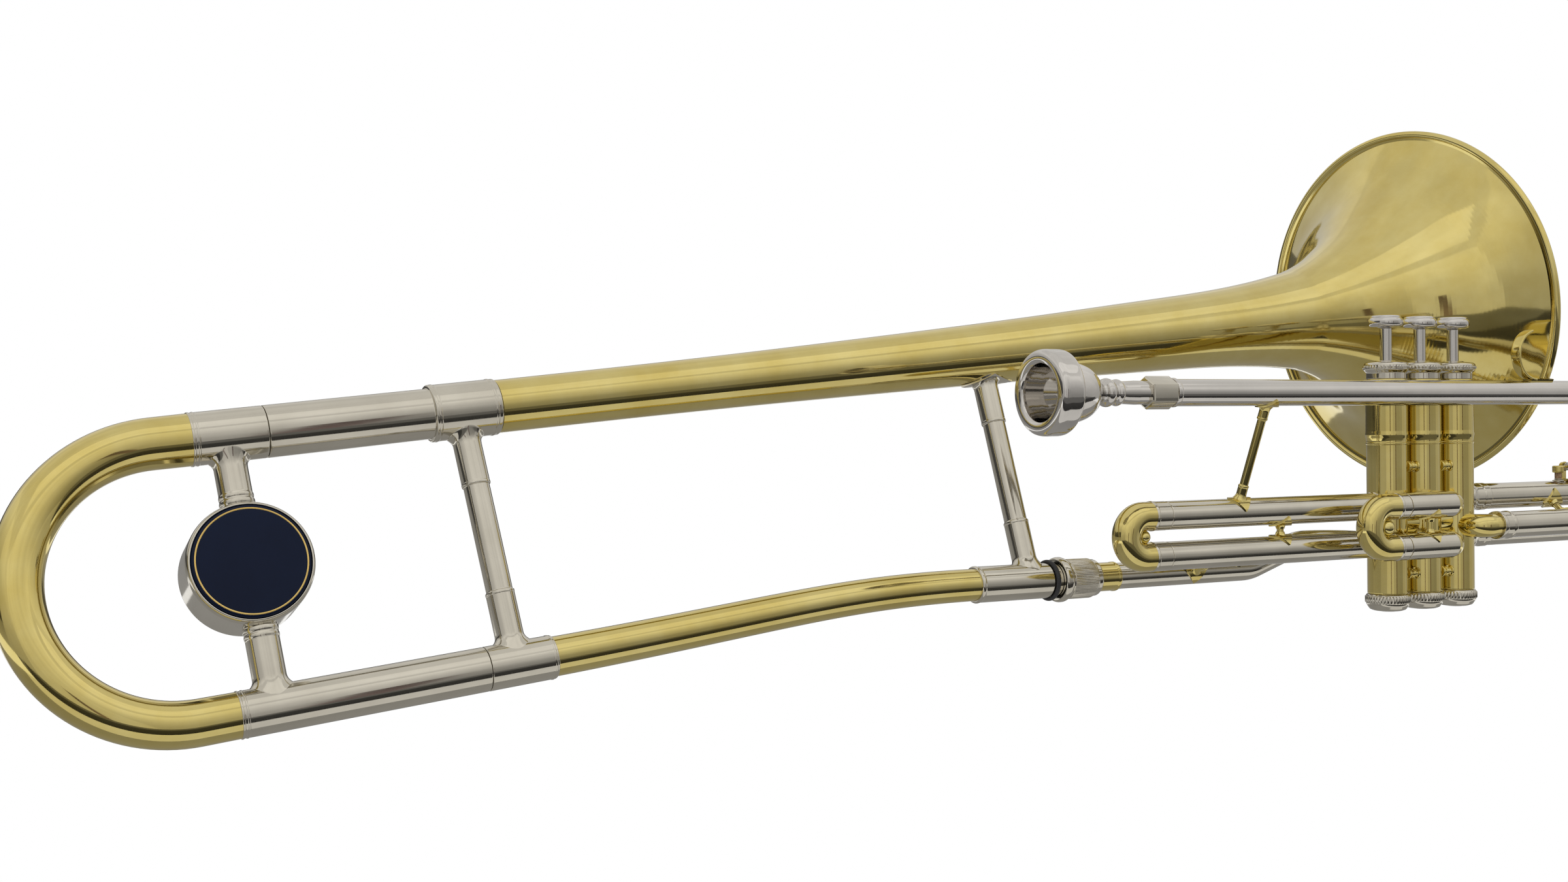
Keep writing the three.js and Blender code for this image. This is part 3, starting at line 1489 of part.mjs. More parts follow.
// The saddle on the slide's leg that carries the water key's pin between two ears.
function makeWaterKeyBracket() {
  const leg = pipeLine(at(keyPinAlong, 0, slide3UpperHeight), axisX, legRadius);
  const outerRadius = legRadius + seatGap + bracketPlateThickness;
  const plateRod = rod(
    at(keyPinAlong - bracketHalfLength, 0, slide3UpperHeight),
    at(keyPinAlong + bracketHalfLength, 0, slide3UpperHeight),
    outerRadius,
    casingSides,
  );
  const plateSpace = blockBetween(
    at(keyPinAlong - bracketHalfLength, -bracketHalfWidth, slide3UpperHeight + legRadius / 4),
    at(keyPinAlong + bracketHalfLength, bracketHalfWidth, slide3UpperHeight + outerRadius),
  );
  const earInner = keyBarWidth / 2 + seatGap;
  const ears = [-1, 1].map((sign) => {
    const near = keyPin.clone().addScaledVector(axisY, sign * earInner);
    const far = keyPin.clone().addScaledVector(axisY, sign * (earInner + bracketEarThickness));
    const low = Math.min(near.y, far.y);
    const high = Math.max(near.y, far.y);
    const web = blockBetween(
      at(keyPinAlong - bracketEarRadius, low, slide3UpperHeight + legRadius / 2),
      at(keyPinAlong + bracketEarRadius, high, keyPinHeight),
    );
    return rod(near, far, bracketEarRadius).add(web);
  });
  const pin = acrossKey(keyPinRadius, earInner + bracketEarThickness);
  const body = joinAll([plateRod.intersect(plateSpace), ...ears]).subtract(clearanceAround(leg));
  return piece('water_key_bracket', body.add(pin), brassFinish);
}

// The water key's lever: a cup over the drain, a bar with a window at the pin and a thumb pad.
function makeWaterKeyLever() {
  const half = keyBarWidth / 2;
  const barBottom = keyBarTop - keyBarThickness;
  const bar = blockBetween(at(drainAlong, -half * 0.6, barBottom), at(keyPadAlong, half * 0.6, keyBarTop));
  const yoke = blockBetween(
    at(keyPinAlong - keyWindowHalfLength - keyBarThickness, -half, barBottom),
    at(keyPinAlong + keyWindowHalfLength + keyBarThickness, half, keyBarTop),
  );
  const cheeks = acrossKey(keyCheekRadius, half);
  const cup = rod(at(drainAlong, 0, keyCupBottom), at(drainAlong, 0, keyBarTop), keyCupRadius, pipeSides);
  const pad = rod(at(keyPadAlong, 0, keyBarTop - keyPadThickness), at(keyPadAlong, 0, keyBarTop), keyPadRadius, pipeSides);
  const window = blockBetween(
    at(keyPinAlong - keyWindowHalfLength, -keyWindowWidth / 2, keyPinHeight - cutOverrun),
    at(keyPinAlong + keyWindowHalfLength, keyWindowWidth / 2, keyPinHeight + cutOverrun),
  );
  const hole = acrossKey(keyPinRadius + turnGap, half + cutOverrun);
  const socket = rod(
    at(drainAlong, 0, keyCupBottom - cutOverrun),
    at(drainAlong, 0, corkTop + seatGap),
    corkRadius + seatGap,
    pipeSides,
  );
  const body = cutAll(joinAll([bar, yoke, cheeks, cup, pad]), [window, hole, socket]);
  return piece('water_key_lever', body, brassFinish);
}

function makeWaterKeyCork() {
  const cork = rod(at(drainAlong, 0, drainTop + seatGap), at(drainAlong, 0, corkTop), corkRadius);
  return piece('water_key_cork', cork, corkFinish);
}

function makeWaterKeySpring() {
  const length = keySpringCurlCount * keySpringPitch;
  const start = keyPin.clone().addScaledVector(axisY, -length / 2);
  const name = 'water_key_spring';
  const wire = woundSpring(name, start, axisY, keySpringRadius, keySpringWire, length, keySpringCurlCount);
  return piece(name, wire, steelFinish);
}

bellSection.add(
  makeBell(),
  makeTuningReceiver(),
  makeNeckMaleTube(),
  makeRearBrace(),
  makeTuningBow(),
  makeTuningLegUpper(),
  makeTuningSleeveLower(),
  makeBalancerStem('balancer_stem_upper', pipeLine(at(-stemBack, 0, 0), axisX, tuningTubeRadius),
    at(-weightBack, 0, -weightDown)),
  makeBalancerStem('balancer_stem_lower', pipeLine(at(-stemBack, 0, -tuningSpacing), axisX, sleeveRadius),
    at(-weightBack, 0, -weightDown)),
  makeBalancerWeight(),
  makeBalancerBadge(),
);

const trombone = new THREE.Group();
trombone.add(
  bellSection,
  makeNeckpipe(),
  makeReceiver(),
  makeORing(),
  makeLockNut(),
  makeExitTube(),
  makeBellBrace(),
  makeLeadpipe(),
  makeMouthpieceReceiver(),
  makeMouthpiece(),
  makeFrontCrook(),
  makeReturnTube(),
  makeReturnElbow(),
  makeReturnStrut(),
  makeSlide1Outer('slide1_outer_upper', slide1UpperHeight),
  makeSlide1Outer('slide1_outer_lower', slide1LowerHeight),
  makeSlide1Moving(),
  makeSlideBrace('slide1_brace', slide1BraceAlong, 0, slide1UpperHeight, slide1LowerHeight, legRadius),
  makeSlide2Outer('slide2_outer_upper', slide2UpperHeight),
  makeSlide2Outer('slide2_outer_lower', slide2LowerHeight),
  makeSlide2Moving(),
  makeSlideBrace('slide2_brace', slide2BraceAlong, slide2Side, slide2UpperHeight, slide2LowerHeight,
    slide2LegRadius),
  makeSlide3Outer('slide3_outer_upper', slide3UpperHeight, true),
  makeSlide3Outer('slide3_outer_lower', slide3LowerHeight, false),
  makeSlide3Moving(),
  makeLeadpipeBrace(),
  makeExitBrace(),
  makeFingerHook(),
  makeWaterKeyBracket(),
  makeWaterKeyLever(),
  makeWaterKeyCork(),
  makeWaterKeySpring(),
);
for (const index of casingAxes.keys()) {
  trombone.add(
    makeCasing(index),
    makeTopCap(index),
    makeBottomCap(index),
    makePiston(index),
    makeButton(index),
    makeValveSpring(index),
  );
}

export default trombone;
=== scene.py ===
"""A valve trombone in lacquered brass and nickel silver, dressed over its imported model."""

import json
import logging
import math
from dataclasses import dataclass, field
from enum import Enum
from typing import Callable, Iterable, Sequence

import bmesh
import bpy
from bmesh.types import BMEdge, BMesh, BMVert
from mathutils import Matrix, Vector

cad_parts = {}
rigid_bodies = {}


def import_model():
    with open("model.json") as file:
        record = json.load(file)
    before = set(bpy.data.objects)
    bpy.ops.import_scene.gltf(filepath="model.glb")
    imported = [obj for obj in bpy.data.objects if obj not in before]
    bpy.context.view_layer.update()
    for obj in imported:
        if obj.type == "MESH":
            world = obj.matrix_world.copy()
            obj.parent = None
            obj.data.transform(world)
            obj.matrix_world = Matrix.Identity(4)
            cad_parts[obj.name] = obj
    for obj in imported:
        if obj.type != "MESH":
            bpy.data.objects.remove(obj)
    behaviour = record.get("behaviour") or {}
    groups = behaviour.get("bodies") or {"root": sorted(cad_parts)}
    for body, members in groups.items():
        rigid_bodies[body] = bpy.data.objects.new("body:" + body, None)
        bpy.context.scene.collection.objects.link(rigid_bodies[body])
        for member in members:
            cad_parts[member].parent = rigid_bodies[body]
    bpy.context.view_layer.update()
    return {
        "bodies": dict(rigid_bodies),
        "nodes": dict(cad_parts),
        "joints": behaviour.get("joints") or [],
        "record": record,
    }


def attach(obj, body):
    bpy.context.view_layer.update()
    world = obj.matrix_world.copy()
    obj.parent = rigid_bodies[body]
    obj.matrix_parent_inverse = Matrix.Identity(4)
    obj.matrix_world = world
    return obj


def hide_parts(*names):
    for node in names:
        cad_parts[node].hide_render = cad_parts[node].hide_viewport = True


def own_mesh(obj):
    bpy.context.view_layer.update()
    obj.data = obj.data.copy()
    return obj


LOG = logging.getLogger("trombone")
MM = 0.001
FULL_TURN = math.tau
QUARTER = math.pi / 2
GUARDED_RUN = 2.0
GUARD_REACH = 0.25
VALVE_PITCH = 24.94
CASING_RADIUS = 10.2
CASING_FACE = 9.9
LEG_SPACING = 112.7
TUNING_TUBE = 10.85
TUNING_SLEEVE = 9.2
TUNING_JOINT = 677.6
SLEEVE_FRONT = 607.3
LEAD_SIDE = -17.45
LEAD_RADIUS = 6.5
RETURN_HEIGHT = -70.8
RETURN_RADIUS = 7.0
EXIT_SIDE = 39.9
EXIT_HEIGHT = -91.65
EXIT_RADIUS = 6.6
SLIDE_LEG = 7.02
SECOND_LEG = 6.6
SECOND_SIDE = -23.5
FIRST_LEVELS = (-59.3, -79.0)
SECOND_LEVELS = (-58.0, -79.0)
THIRD_LEVELS = (-56.2, -76.0)
DRAIN_ALONG = 108.5
CORK_BOTTOM = -47.85
X_AXIS = Vector((1, 0, 0))
Y_AXIS = Vector((0, 1, 0))
Z_AXIS = Vector((0, 0, 1))

Profile = list[tuple[float, float]]
Inputs = dict[str | int, object]


class Slot(Enum):
    """The finishes of the record that a piece can take."""

    BRASS = "brass"
    NICKEL = "nickel"
    SILVER = "silver"
    STEEL = "spring_steel"
    RUBBER = "rubber"
    CORK = "cork"
    ENAMEL = "enamel"


# Routes and placements


def facing(start: Vector, heading: Vector) -> Matrix:
    """Returns the placement whose Z axis runs from a start along a heading.

    Args:
        start: The origin of the placement, in millimetres.
        heading: The direction of its Z axis.

    Returns:
        A matrix in millimetres.
    """
    turn = Z_AXIS.rotation_difference(heading.normalized())
    return Matrix.Translation(start) @ turn.to_matrix().to_4x4()


class Route:
    """A line through space made of straight runs, round bends and free curves."""

    def __init__(self, start: Vector, heading: Vector) -> None:
        """Starts the route.

        Args:
            start: The first point, in millimetres.
            heading: The direction in which it leaves.
        """
        self.points: list[Vector] = [start.copy()]
        self.headings: list[Vector] = [heading.normalized()]

    def reach(self, point: Vector, heading: Vector) -> "Route":
        """Adds one point with its heading and returns the route."""
        self.points.append(point.copy())
        self.headings.append(heading.normalized())
        return self

    def straight(self, length: float, steps: int = 1) -> "Route":
        """Runs straight on.

        Args:
            length: The length of the run.
            steps: How many points it gets.

        Returns:
            The route itself.
        """
        start = self.points[-1].copy()
        for step in range(1, steps + 1):
            self.reach(start + self.headings[-1] * (length * step / steps), self.headings[-1])
        return self

    def bend(self, axis: Vector, angle: float, radius: float, steps: int = 16) -> "Route":
        """Turns about an axis on a round bend.

        Args:
            axis: The direction of the bend's axis.
            angle: The angle turned, positive by the right-hand rule.
            radius: The bend radius of the centre line.
            steps: How many points it gets.

        Returns:
            The route itself.
        """
        heading = self.headings[-1].copy()
        inward = axis.cross(heading).normalized()
        centre = self.points[-1] + inward * radius
        for step in range(1, steps + 1):
            turn = Matrix.Rotation(angle * step / steps, 3, axis)
            self.reach(centre - (turn @ inward) * radius, turn @ heading)
        return self

    def glide(self, end: Vector, heading: Vector, leave: float, arrive: float, steps: int = 40) -> "Route":
        """Follows a smooth cubic curve to an end point.

        Args:
            end: The point reached.
            heading: The heading on arrival.
            leave: The length of the first handle.
            arrive: The length of the last handle.
            steps: How many points it gets.

        Returns:
            The route itself.
        """
        a = self.points[-1].copy()
        b = a + self.headings[-1] * leave
        d = end
        c = end - heading.normalized() * arrive
        for step in range(1, steps + 1):
            t = step / steps
            u = 1 - t
            point = a * u**3 + b * (3 * u * u * t) + c * (3 * u * t * t) + d * t**3
            way = (b - a) * (3 * u * u) + (c - b) * (6 * u * t) + (d - c) * (3 * t * t)
            self.reach(point, way)
        return self

    def lengths(self) -> list[float]:
        """Returns the distance along the route at each point."""
        total = 0.0
        found = [0.0]
        for before, after in zip(self.points, self.points[1:]):
            total += (after - before).length
            found.append(total)
        return found

    def frames(self) -> list[Matrix]:
        """Returns a placement at each point, turned as little as possible from one to the next."""
        found = [facing(self.points[0], self.headings[0])]
        for point, before, after in zip(self.points[1:], self.headings, self.headings[1:]):
            turn = before.rotation_difference(after).to_matrix().to_4x4()
            previous = found[-1].to_3x3().to_4x4()
            found.append(Matrix.Translation(point) @ turn @ previous)
        return found


def rounded(profile: Profile, radius: float, steps: int = 3) -> Profile:
    """Rounds the corners of a turned outline.

    Args:
        profile: Points as (along, radius).
        radius: The largest fillet; short edges get a smaller one.
        steps: How many points each fillet gets past its first.

    Returns:
        The outline with its inner corners filleted.
    """
    result = [profile[0]]
    for before, here, after in zip(profile, profile[1:], profile[2:]):
        a, b, c = Vector(before), Vector(here), Vector(after)
        reach = min(radius, (b - a).length * 0.45, (c - b).length * 0.45)
        if reach < 1e-4:
            result.append(here)
            continue
        first = b + (a - b).normalized() * reach
        last = b + (c - b).normalized() * reach
        for step in range(steps + 1):
            t = step / steps
            point = first * (1 - t) ** 2 + b * (2 * t * (1 - t)) + last * t**2
            result.append((point.x, point.y))
    result.append(profile[-1])
    return result


def placed(start: float, points: Profile) -> Profile:
    """Returns outline points that are counted from a start, moved to where they belong."""
    return [(start + along, radius) for along, radius in points]


def closed(outline: Profile) -> Profile:
    """Returns an outline that ends where it starts."""
    return [*outline, outline[0]]


def smoothed(points: Sequence[tuple[float, float]], steps: int) -> Profile:
    """Threads a smooth curve through the points of an outline.

    Args:
        points: The points that the curve passes.
        steps: How many points each stretch gets.

    Returns:
        The denser outline.
    """
    places = [Vector(point) for point in points]
    padded = [places[0] * 2 - places[1], *places, places[-1] * 2 - places[-2]]
    result: Profile = []
    for p0, p1, p2, p3 in zip(padded, padded[1:], padded[2:], padded[3:]):
        for step in range(steps):
            t = step / steps
            curve = (
                p1 * 2
                + (p2 - p0) * t
                + (p0 * 2 - p1 * 5 + p2 * 4 - p3) * t**2
                + (p1 * 3 - p0 - p2 * 3 + p3) * t**3
            ) * 0.5
            result.append((curve.x, curve.y))
    result.append((places[-1].x, places[-1].y))
    return result


# Mesh making

SHARP_ANGLE = math.radians(38)


def finished(name: str, shape: BMesh, sharp: float = SHARP_ANGLE) -> bpy.types.Object:
    """Makes an object of a shape that was built in millimetres.

    Args:
        name: The object's name.
        shape: The finished shape, freed afterwards.
        sharp: Edges that bend more than this angle stay sharp.

    Returns:
        The object, linked to the scene, with its place in its mesh.
    """
    bmesh.ops.remove_doubles(shape, verts=shape.verts, dist=1e-4)
    bmesh.ops.dissolve_degenerate(shape, dist=1e-5, edges=shape.edges)
    bmesh.ops.recalc_face_normals(shape, faces=shape.faces)
    bmesh.ops.scale(shape, vec=(MM, MM, MM), verts=shape.verts)
    mesh = bpy.data.meshes.new(name)
    shape.to_mesh(mesh)
    shape.free()
    mesh.shade_smooth()
    mesh.set_sharp_from_angle(angle=sharp)
    made = bpy.data.objects.new(name, mesh)
    bpy.context.scene.collection.objects.link(made)
    return made


def guarded(profile: Profile) -> Profile:
    """Adds a ring close to each end of a long run, so that a rounded corner doesn't tilt its shading.

    Args:
        profile: Points as (along, radius).

    Returns:
        The outline with the added points.
    """
    result = [profile[0]]
    for before, after in zip(profile, profile[1:]):
        start, end = Vector(before), Vector(after)
        run = (end - start).length
        if run > GUARDED_RUN:
            step = (end - start) * (GUARD_REACH / run)
            result += [tuple(start + step), tuple(end - step)]
        result.append(after)
    return result


def spin_into(shape: BMesh, profile: Profile, place: Matrix, steps: int = 64) -> list:
    """Turns an outline about the Z axis of a placement and adds it to a shape.

    Args:
        shape: The shape that receives it.
        profile: Points as (along, radius), from axis to axis or closed on itself.
        place: Where the turned body stands.
        steps: The number of facets round it.

    Returns:
        The new vertices.
    """
    known = set(shape.verts)
    verts = [shape.verts.new((radius, 0, along)) for along, radius in guarded(profile)]
    edges = [shape.edges.new(pair) for pair in zip(verts, verts[1:])]
    bmesh.ops.spin(
        shape,
        geom=verts + edges,
        cent=(0, 0, 0),
        axis=(0, 0, 1),
        angle=FULL_TURN,
        steps=steps,
        use_merge=True,
    )
    fresh = [vert for vert in shape.verts if vert not in known]
    bmesh.ops.remove_doubles(shape, verts=fresh, dist=1e-4)
    fresh = [vert for vert in shape.verts if vert not in known]
    bmesh.ops.transform(shape, matrix=place, verts=fresh)
    return fresh


def sweep_into(
    shape: BMesh,
    route: Route,
    radius: float | Callable[[float], float],
    sides: int = 40,
    capped: bool = True,
    flat: tuple[float, float] = (1.0, 1.0),
    square: float = 1.0,
) -> tuple[list, list]:
    """Draws a round or flattened section along a route and adds it to a shape.

    Args:
        shape: The shape that receives it.
        route: The centre line.
        radius: The radius, or a function of the share of the length that gives it.
        sides: The number of facets round it.
        capped: Whether its two ends are closed.
        flat: How far the section is stretched in its two directions.
        square: Below 1 the section's corners fill out toward a rectangle.

    Returns:
        The vertices of its first ring and of its last ring.
    """
    lengths = route.lengths()
    shares = [length / lengths[-1] for length in lengths]
    radii = [radius(share) if callable(radius) else radius for share in shares]
    frames = [
        frame @ Matrix.Diagonal((size * flat[0], size * flat[1], 1, 1))
        for frame, size in zip(route.frames(), radii)
    ]
    first = bmesh.ops.create_circle(shape, cap_ends=False, radius=1, segments=sides)["verts"]
    for vert in first:
        vert.co.x = math.copysign(abs(vert.co.x) ** square, vert.co.x)
        vert.co.y = math.copysign(abs(vert.co.y) ** square, vert.co.y)
    bmesh.ops.transform(shape, matrix=frames[0], verts=first)
    edges = list({edge for vert in first for edge in vert.link_edges})
    last = first
    for before, after in zip(frames, frames[1:]):
        grown = bmesh.ops.extrude_edge_only(shape, edges=edges)["geom"]
        last = [item for item in grown if isinstance(item, BMVert)]
        lines = [item for item in grown if isinstance(item, BMEdge)]
        ring = set(last)
        edges = [line for line in lines if ring.issuperset(line.verts)]
        bmesh.ops.transform(shape, matrix=after @ before.inverted(), verts=last)
    if capped:
        for ring in (first, last):
            bmesh.ops.holes_fill(shape, edges=ring_edges(ring), sides=sides)
    return first, last


def ring_edges(ring: Iterable) -> list:
    """Returns the open edges that touch a ring of vertices."""
    return list({edge for vert in ring for edge in vert.link_edges if edge.is_boundary})


def pipe_into(shape: BMesh, route: Route, radius: float, bore: float, sides: int = 48) -> list:
    """Draws a hollow pipe along a route and adds it to a shape.

    Args:
        shape: The shape that receives it.
        route: The centre line.
        radius: The outer radius.
        bore: The inner radius.
        sides: The number of facets round it.

    Returns:
        The new vertices.
    """
    known = set(shape.verts)
    outer = sweep_into(shape, route, radius, sides, capped=False)
    inner = sweep_into(shape, route, bore, sides, capped=False)
    for outside, inside in zip(outer, inner):
        bmesh.ops.bridge_loops(shape, edges=ring_edges(outside) + ring_edges(inside))
    return [vert for vert in shape.verts if vert not in known]


def soften(shape: BMesh, edges: list, offset: float, segments: int) -> None:
    """Rounds edges over a given width."""
    bmesh.ops.bevel(
        shape,
        geom=edges,
        offset=offset,
        segments=segments,
        profile=0.5,
        affect="EDGES",
        material=-1,
        clamp_overlap=True,
    )


def block_into(shape: BMesh, low: Vector, high: Vector, edge: float = 0.3) -> None:
    """Adds a block with softened edges between two corners."""
    place = Matrix.Translation((low + high) / 2) @ Matrix.Diagonal((*(high - low), 1))
    made = bmesh.ops.create_cube(shape, size=1, matrix=place)
    edges = list({line for vert in made["verts"] for line in vert.link_edges})
    soften(shape, edges, edge, 3)


def merge_object(name: str, build: Callable[[BMesh], None]) -> bpy.types.Object:
    """Makes one object by letting a builder add to an empty shape.

    Args:
        name: The object's name.
        build: A function that adds everything to the shape.

    Returns:
        The finished object.
    """
    shape = bmesh.new()
    build(shape)
    return finished(name, shape)


def turned(name: str, profile: Profile, place: Matrix, steps: int = 64) -> bpy.types.Object:
    """Makes one turned object.

    Args:
        name: The object's name.
        profile: Its outline as (along, radius).
        place: Where it stands.
        steps: The number of facets round it.

    Returns:
        The finished object.
    """
    shape = bmesh.new()
    spin_into(shape, profile, place, steps)
    return finished(name, shape)


def tube_profile(start: float, end: float, radius: float, bore: float, edge: float = 0.25) -> Profile:
    """Returns the closed outline of a plain tube with softened rims."""
    rear: Profile = [(0, bore), (0, radius - edge), (edge * 0.3, radius - edge * 0.3), (edge, radius)]
    front = [(end - along, height) for along, height in reversed(rear)]
    return closed([*placed(start, rear), *front])


@dataclass(frozen=True)
class PipeLine:
    """A straight pipe's axis and outer radius, in millimetres."""

    point: Vector
    heading: Vector
    radius: float


def seat_on(shape: BMesh, verts: Iterable, pipe: PipeLine, outward: Vector, reach: float) -> None:
    """Lets the foot of a strut follow the round of the pipe that it stands on.

    Args:
        shape: The shape that holds the foot; it is not used.
        verts: The vertices that may move.
        pipe: The pipe under the foot.
        outward: The direction in which the strut leaves.
        reach: The height over which the foot blends into the plain strut.
    """
    way = outward.normalized()
    for vert in verts:
        offset = vert.co - pipe.point
        height = offset.dot(way)
        if height > pipe.radius + reach:
            continue
        across = offset - pipe.heading * offset.dot(pipe.heading)
        sideways = (across - way * across.dot(way)).length
        surface = math.sqrt(max(pipe.radius**2 - min(sideways, pipe.radius * 0.98) ** 2, 0))
        share = 1 - max(height - pipe.radius, 0) / reach
        vert.co += way * (surface - pipe.radius) * share


def wrap_plate(
    shape: BMesh,
    plate: list,
    pipe: PipeLine,
    outward: Vector,
    thickness: float,
    lift: float = -0.1,
) -> None:
    """Wraps a flat plate round a pipe and gives it a thickness.

    Args:
        shape: The shape that holds the plate.
        plate: The plate's vertices, flat about the origin with X along the pipe.
        pipe: The pipe that it wraps.
        outward: The side of the pipe on which it lies.
        thickness: Its thickness.
        lift: How far its underside stands off the pipe.
    """
    faces = list({face for vert in plate for face in vert.link_faces})
    along = pipe.heading.normalized()
    up = (outward - along * outward.dot(along)).normalized()
    side = up.cross(along)
    grown = bmesh.ops.extrude_face_region(shape, geom=faces)["geom"]
    top = {item for item in grown if isinstance(item, BMVert)}
    for vert in plate + list(top):
        turn = vert.co.y / pipe.radius
        height = pipe.radius + lift + (thickness if vert in top else 0)
        vert.co = pipe.point + along * vert.co.x + (up * math.cos(turn) + side * math.sin(turn)) * height


def diamond_into(
    shape: BMesh, pipe: PipeLine, outward: Vector, half_length: float, half_width: float
) -> None:
    """Adds a thin diamond plate that wraps a pipe under a strut.

    Args:
        shape: The shape that receives it.
        pipe: The pipe that it wraps.
        outward: The side of the pipe on which it lies.
        half_length: Half its length along the pipe.
        half_width: Half its width round the pipe.
    """
    plate = bmesh.ops.create_grid(shape, x_segments=14, y_segments=14, size=1)["verts"]
    spin = Matrix.Rotation(math.pi / 4, 4, "Z")
    stretch = Matrix.Diagonal((half_length / math.sqrt(2), half_width / math.sqrt(2), 1, 1))
    bmesh.ops.transform(shape, matrix=stretch @ spin, verts=plate)
    wrap_plate(shape, plate, pipe, outward, 0.85)


def saddle_into(
    shape: BMesh,
    pipe: PipeLine,
    outward: Vector,
    half_length: float,
    half_width: float,
    thickness: float,
) -> None:
    """Adds a rectangular saddle that wraps a pipe.

    Args:
        shape: The shape that receives it.
        pipe: The pipe that it wraps.
        outward: The side of the pipe on which it lies.
        half_length: Half its length along the pipe.
        half_width: Half its width across the pipe.
        thickness: Its thickness.
    """
    plate = bmesh.ops.create_grid(shape, x_segments=8, y_segments=14, size=1)["verts"]
    reach = math.asin(min(half_width / (pipe.radius + thickness), 1.0)) * pipe.radius
    bmesh.ops.transform(shape, matrix=Matrix.Diagonal((half_length, reach, 1, 1)), verts=plate)
    wrap_plate(shape, plate, pipe, outward, thickness, 0.02)


@dataclass(frozen=True)
class Strut:
    """A strut between two pipes: a rod with sockets, joint rings and diamond feet."""

    first: PipeLine
    second: PipeLine
    rod: float
    socket: float
    socket_length: float
    foot_length: float = 7.5
    foot_width: float = 8.4
    flare: float = 1.3

    def build(self, shape: BMesh) -> None:
        """Adds the whole strut to a shape."""
        way = self.second.point - self.first.point
        length = way.length
        near = self.first.radius
        far = length - self.second.radius
        middle = near + self.socket_length
        outline: Profile = [
            *placed(near, [
                (-1, 0), (-1, self.socket + self.flare * 1.2), (0.5, self.socket + self.flare),
                (1.2, self.socket + self.flare * 0.4), (2.4, self.socket),
            ]),
            *placed(middle, [
                (-0.9, self.socket), (-0.5, self.socket + 0.12), (0.2, self.socket + 0.12),
                (0.5, self.rod),
            ]),
        ]
        mirrored = [(near + far - along, radius) for along, radius in reversed(outline)]
        profile = rounded(outline + mirrored, 0.5)
        verts = spin_into(shape, profile, facing(self.first.point, way), 32)
        seat_on(shape, verts, self.first, way, 2.5)
        seat_on(shape, verts, self.second, -way, 2.5)
        diamond_into(shape, self.first, way, self.foot_length, self.foot_width)
        diamond_into(shape, self.second, -way, self.foot_length, self.foot_width)


def knurled_ring_into(
    shape: BMesh,
    radius: float,
    bore: float,
    depth: float,
    span: tuple[float, float],
    place: Matrix,
    teeth: int,
) -> None:
    """Adds a ring of fine straight knurling with chamfered ends.

    Args:
        shape: The shape that receives it.
        radius: The radius over the ridges.
        bore: The radius of its inside.
        depth: The depth of the grooves.
        span: Where it starts and ends along its axis.
        place: The placement of the axis.
        teeth: The number of ridges.
    """
    start, end = span
    chamfer = depth * 1.3
    steps = (
        (start, bore, 0.0), (start, radius - chamfer, 0.0), (start + chamfer, radius, depth),
        (end - chamfer, radius, depth), (end, radius - chamfer, 0.0), (end, bore, 0.0),
    )
    count = teeth * 4
    base = bmesh.ops.create_circle(shape, cap_ends=False, radius=1, segments=count)["verts"]
    edges = list({edge for vert in base for edge in vert.link_edges})
    rings = [base]
    for _ in steps[1:]:
        grown = bmesh.ops.extrude_edge_only(shape, edges=edges)["geom"]
        fresh = {item for item in grown if isinstance(item, BMVert)}
        lines = [item for item in grown if isinstance(item, BMEdge)]
        edges = [line for line in lines if fresh.issuperset(line.verts)]
        below = {vert: index for index, vert in enumerate(rings[-1])}
        ring = [None] * count
        for vert in fresh:
            foot = next(other for edge in vert.link_edges if (other := edge.other_vert(vert)) in below)
            ring[below[foot]] = vert
        rings.append(ring)
    for ring, (height, size, groove) in zip(rings, steps):
        for index, vert in enumerate(ring):
            cut = groove * (0.5 - 0.5 * math.cos(FULL_TURN * index / 4))
            turn = FULL_TURN * index / count
            vert.co = Vector(((size - cut) * math.cos(turn), (size - cut) * math.sin(turn), height))
    bmesh.ops.bridge_loops(shape, edges=ring_edges(rings[0]) + ring_edges(rings[-1]))
    bmesh.ops.transform(shape, matrix=place, verts=[vert for ring in rings for vert in ring])


def ball_into(shape: BMesh, centre: Vector, radius: float, stretch: Vector) -> None:
    """Adds a ball that is stretched along the axes."""
    place = Matrix.Translation(centre) @ Matrix.Diagonal((*stretch, 1))
    bmesh.ops.create_uvsphere(shape, u_segments=32, v_segments=20, radius=radius, matrix=place)


# Finishes


class NodeSheet:
    """A node tree while its nodes are laid out and wired."""

    def __init__(self, tree: bpy.types.NodeTree) -> None:
        """Takes the tree that receives the nodes."""
        self.tree = tree

    def add(self, kind: str, values: Inputs | None = None, **settings: object) -> bpy.types.Node:
        """Adds one node.

        Args:
            kind: Its type, without the word ShaderNode.
            values: What its inputs hold, by name or number.
            settings: Its own settings, such as its operation.

        Returns:
            The node.
        """
        node = self.tree.nodes.new(f"ShaderNode{kind}")
        for name, setting in settings.items():
            setattr(node, name, setting)
        return self.fill(node, values or {})

    def fill(self, node: bpy.types.Node, values: Inputs) -> bpy.types.Node:
        """Sets inputs of a node and returns it."""
        for label, value in values.items():
            node.inputs[label].default_value = value
        return node

    def join(self, source: bpy.types.Node, output: str, target: bpy.types.Node, entry: str | int) -> None:
        """Wires an output of one node to an input of another."""
        self.tree.links.new(source.outputs[output], target.inputs[entry])

    def any_ray(self, kinds: Sequence[str]) -> bpy.types.Node:
        """Returns a node whose value is 1 for any of the named kinds of ray.

        Args:
            kinds: The names of the Light Path node's outputs, two or more.

        Returns:
            The last node of the sum.
        """
        rays = self.add("LightPath")
        total, output = rays, kinds[0]
        for kind in kinds[1:]:
            added = self.add("Math", operation="ADD", use_clamp=True)
            self.join(total, output, added, 0)
            self.join(rays, kind, added, 1)
            total, output = added, "Value"
        return total


